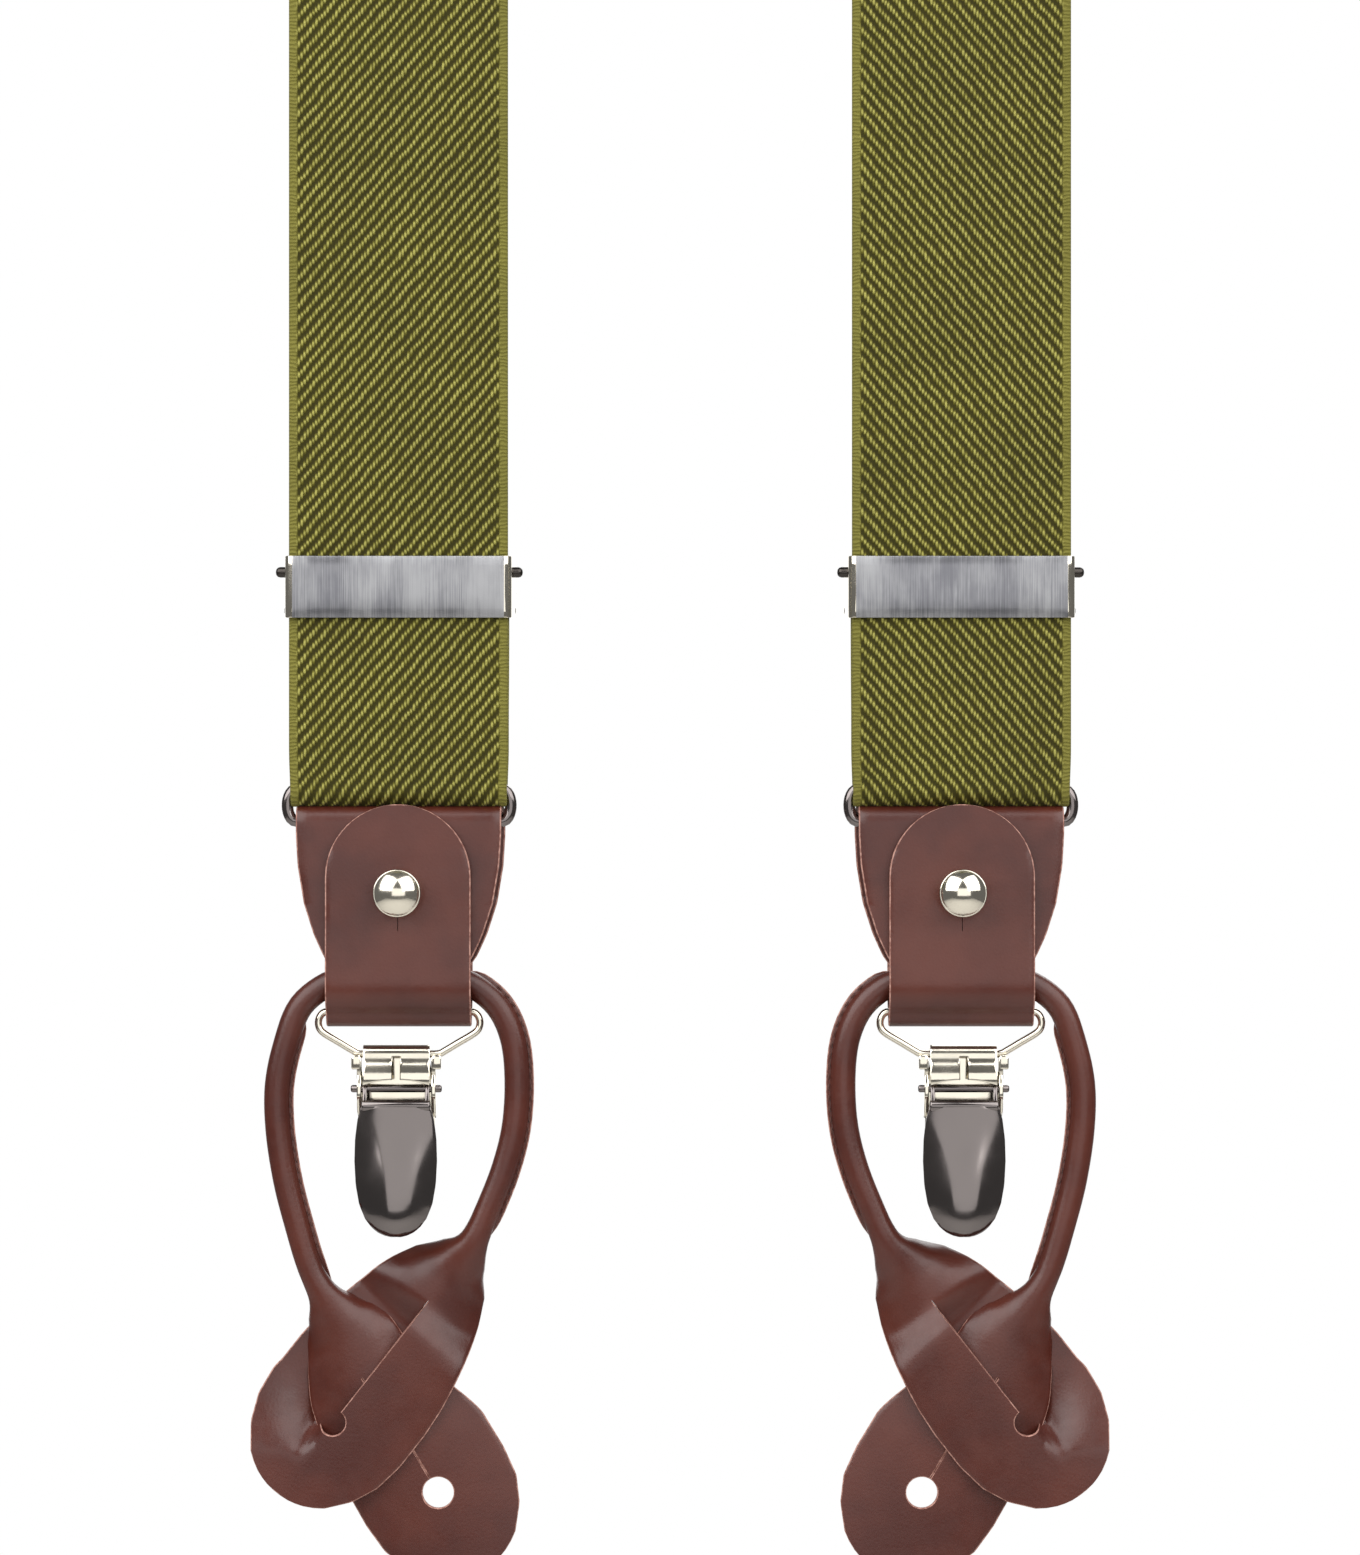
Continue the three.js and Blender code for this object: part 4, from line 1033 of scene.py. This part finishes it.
def buildAdjuster():
    a = adjuster
    half = a["width"] / 2 - a["metal"] / 2
    front = a["frontY"] + a["metal"] / 2
    corner = a["corner"]
    leftArc = arcOf((-half + corner, front + corner), corner, 180, 270, 8)
    rightArc = arcOf((half - corner, front + corner), corner, 270, 360, 8)
    points = [(-half - a["splay"], a["backY"]), (-half, front + corner), *leftArc, *rightArc, (half, front + corner),
              (half + a["splay"], a["backY"])]
    route = makeRoute(points)
    dense, total = a["denseReach"], route["total"]
    rows = sorted({*spread(0, dense, 0.5), *spread(dense, total - dense, 2.5), *spread(total - dense, total, 0.5)})
    shape = makeBlank(rows, lambda d: a["height"] / 2, 6, a["metal"])
    softenRims(shape, a["bevel"], 2)
    middle = a["lowZ"] + a["height"] / 2

    # the face is pressed a little hollow, and its edges lie closer to the strap
    def placeOf(x, along, depth):
        at = pointOn(route, along)
        way = directionOn(route, along, 0.2)
        face = smoothStep(half - abs(at.x), 0.6, 2.2)
        roll = a["roll"] * ((abs(x) / (a["height"] / 2)) ** 4 + smoothStep(-x, 2, 5)) * face
        hollow = a["hollow"] * math.cos(math.pi * at.x / half / 2) * face
        return Vector((at.x + way.y * depth, at.y - way.x * depth + roll + hollow, middle + x))

    bendBlank(shape, placeOf)
    for face in shape.faces:
        face.material_index = 1 if abs(face.calc_center_median().x) > half - a["corner"] * 0.6 else 0
    return shape


# The bored roller that turns on the axle, with the flap that jams the webbing.
def buildLever():
    y, z = adjuster["axle"]
    radius = lever["radius"]
    bm = bmesh.new()
    bmesh.ops.create_cone(bm, segments=32, radius1=radius, radius2=radius, depth=lever["width"], cap_ends=True)
    bmesh.ops.rotate(bm, verts=bm.verts, matrix=Matrix.Rotation(math.pi / 2, 3, "Y"))
    bmesh.ops.translate(bm, verts=bm.verts, vec=(0, y, z))
    bm = punch(bm, [makeRod(lever["bore"], 50, y, z, 0.05)])
    softenRims(bm, 0.12, 2, 60)
    flap = makeCheek([(y + back, z + up) for back, up in lever["flap"]], 0, lever["width"], 0.15)
    return joinShapes(bm, flap)


buildFrontStraps()
buildReturnRuns()
buildBackStrap()
buildPatch()
print("webbing and patch made")

studHead, studScrew = buildStud()
loopShape, loopStitches = buildLoop()
# each piece's shape, finishes, body, slot and the node that it stands for
hardware = {
    "ring": (buildRing(), [blackNickel], "ring", "dark_nickel", "ring"),
    "holder": (buildHolder(), [leather, cutEdge], "holder", "leather", "leather_holder"),
    "clipTab": (buildTab(), [leather, cutEdge], "holder", "leather", "clip_tab"),
    "stud": (studHead, [brightNickel], "holder", "bright_nickel", "stud"),
    "studScrew": (studScrew, [brightNickel], "holder", "bright_nickel", "stud_screw"),
    "buttonLoop": (loopShape, [leather, cutEdge], "loop", "leather", "button_loop"),
    "loopStitching": (loopStitches, [brownThread], "loop", "leather", None),
    "bail": (buildBail(), [brightNickel], "bail", "bright_nickel", "clip_bail"),
    "clipBody": (buildBody(), [brightNickel], "clip", "bright_nickel", "clip_body"),
    "clipPanel": (buildPanel(), [brightNickel], "clip", "bright_nickel", "clip_spring"),
    "clipPin": (makeRod(clip["pinRadius"], clip["pinLength"], clip["pinY"], clip["pinZ"], clip["pinRounding"], 24,
                        clip["x"]), [blackNickel], "clip", "bright_nickel", "clip_pin"),
    "clipPad": (buildPad(), [nylon], "clip", "grip_plastic", "clip_pad"),
    "clipCover": (buildCover(), [blackNickel], "cover", "dark_nickel", "clip_cover"),
}
for side in ("left", "right", "rear"):
    for name, (shape, finishes, body, slot, node) in hardware.items():
        rides = "root" if body == "ring" and side == "rear" else f"{body}_{side}"
        addPiece(name, shape, side, finishes, rides, slot, [f"{node}_{side}"] if node else ())
print("leather ends, loops and clips made")

axle = makeRod(adjuster["axleRadius"], adjuster["axleLength"], *adjuster["axle"], 0.7, 24)
bar = makeRod(adjuster["barRadius"], adjuster["barLength"], *adjuster["bar"], 0.3, 24)
adjusterParts = {
    "adjusterCover": (buildAdjuster(), [satinSteel, brightNickel], "adjuster", "adjuster_cover"),
    "adjusterAxle": (axle, [blackenedSteel], "adjuster", "adjuster_axle"),
    "adjusterBar": (bar, [blackenedSteel], "adjuster", "adjuster_bar"),
    "adjusterLever": (buildLever(), [satinSteel], "lever", "adjuster_lever"),
}
for side in ("left", "right"):
    for name, (shape, finishes, body, node) in adjusterParts.items():
        addPiece(name, shape, side, finishes, f"{body}_{side}", "satin_steel", [f"{node}_{side}"])
print("adjusters made")


room = {"floorZ": -1300, "floorSize": 3200, "paper": "dfdedb", "roughness": 0.9, "glow": 0.16}


def makeFloor():
    material, tree, shader = newFinish("paleFloor")
    setInputs(tree, shader, {"Base Color": linearColour(room["paper"]), "Roughness": room["roughness"]})
    bm = bmesh.new()
    bmesh.ops.create_grid(bm, x_segments=1, y_segments=1, size=room["floorSize"] / 2 * mm)
    bmesh.ops.translate(bm, verts=bm.verts, vec=(0, 0, room["floorZ"] * mm))
    mesh = bpy.data.meshes.new("floor")
    bm.to_mesh(mesh)
    mesh.materials.append(material)
    floor = bpy.data.objects.new("floor", mesh)
    bpy.context.scene.collection.objects.link(floor)


def makeLight(name, place, target, size, power):
    lamp = bpy.data.lights.new(name, "AREA")
    lamp.shape = "RECTANGLE"
    lamp.size, lamp.size_y = size
    lamp.energy = power
    light = bpy.data.objects.new(name, lamp)
    light.location = place
    light.rotation_euler = (Vector(target) - Vector(place)).to_track_quat("-Z", "Y").to_euler()
    bpy.context.scene.collection.objects.link(light)


def makeWorld():
    world = bpy.data.worlds.new("studio")
    world.use_nodes = True
    bpy.context.scene.world = world
    tree = world.node_tree
    # white where it is seen past the object, and dim in the light that it gives
    seen = addNode(tree, "LightPath").outputs["Is Camera Ray"]
    strength = addNode(tree, "Math", [seen, 1 - room["glow"], room["glow"]], operation="MULTIPLY_ADD")
    setInputs(tree, tree.nodes["Background"], {"Color": (1, 1, 1, 1), "Strength": strength})


makeFloor()
makeWorld()
middle = (0, -0.016, -0.556)  # between the two front ends, in metres like the lights' places
makeLight("topLeftLight", (-0.85, -0.75, 0.3), middle, (1.5, 1.5), 24)
makeLight("topRightLight", (0.85, -0.75, 0.3), middle, (1.5, 1.5), 20)
makeLight("frontLight", (0.17, -1.5, -0.45), (0.17, 0, -0.5), (1.5, 0.8), 4.6)
makeLight("rearLight", (0, 1.5, -0.556), middle, (1.8, 0.9), 6)
makeLight("backLight", (0.5, 1.3, 0.4), (0, 0, -0.3), (1.0, 1.0), 8)

camera = bpy.data.objects.new("camera", bpy.data.cameras.new("camera"))
camera.location = (0, -0.9, -0.5559)
camera.rotation_euler = (math.pi / 2, 0, 0)
camera.data.sensor_width = 36
camera.data.lens = 128
camera.data.clip_start = 0.01
camera.data.clip_end = 20
bpy.context.scene.collection.objects.link(camera)
bpy.context.scene.camera = camera
bpy.context.scene.view_settings.view_transform = "Standard"
print("room, lights and camera set")
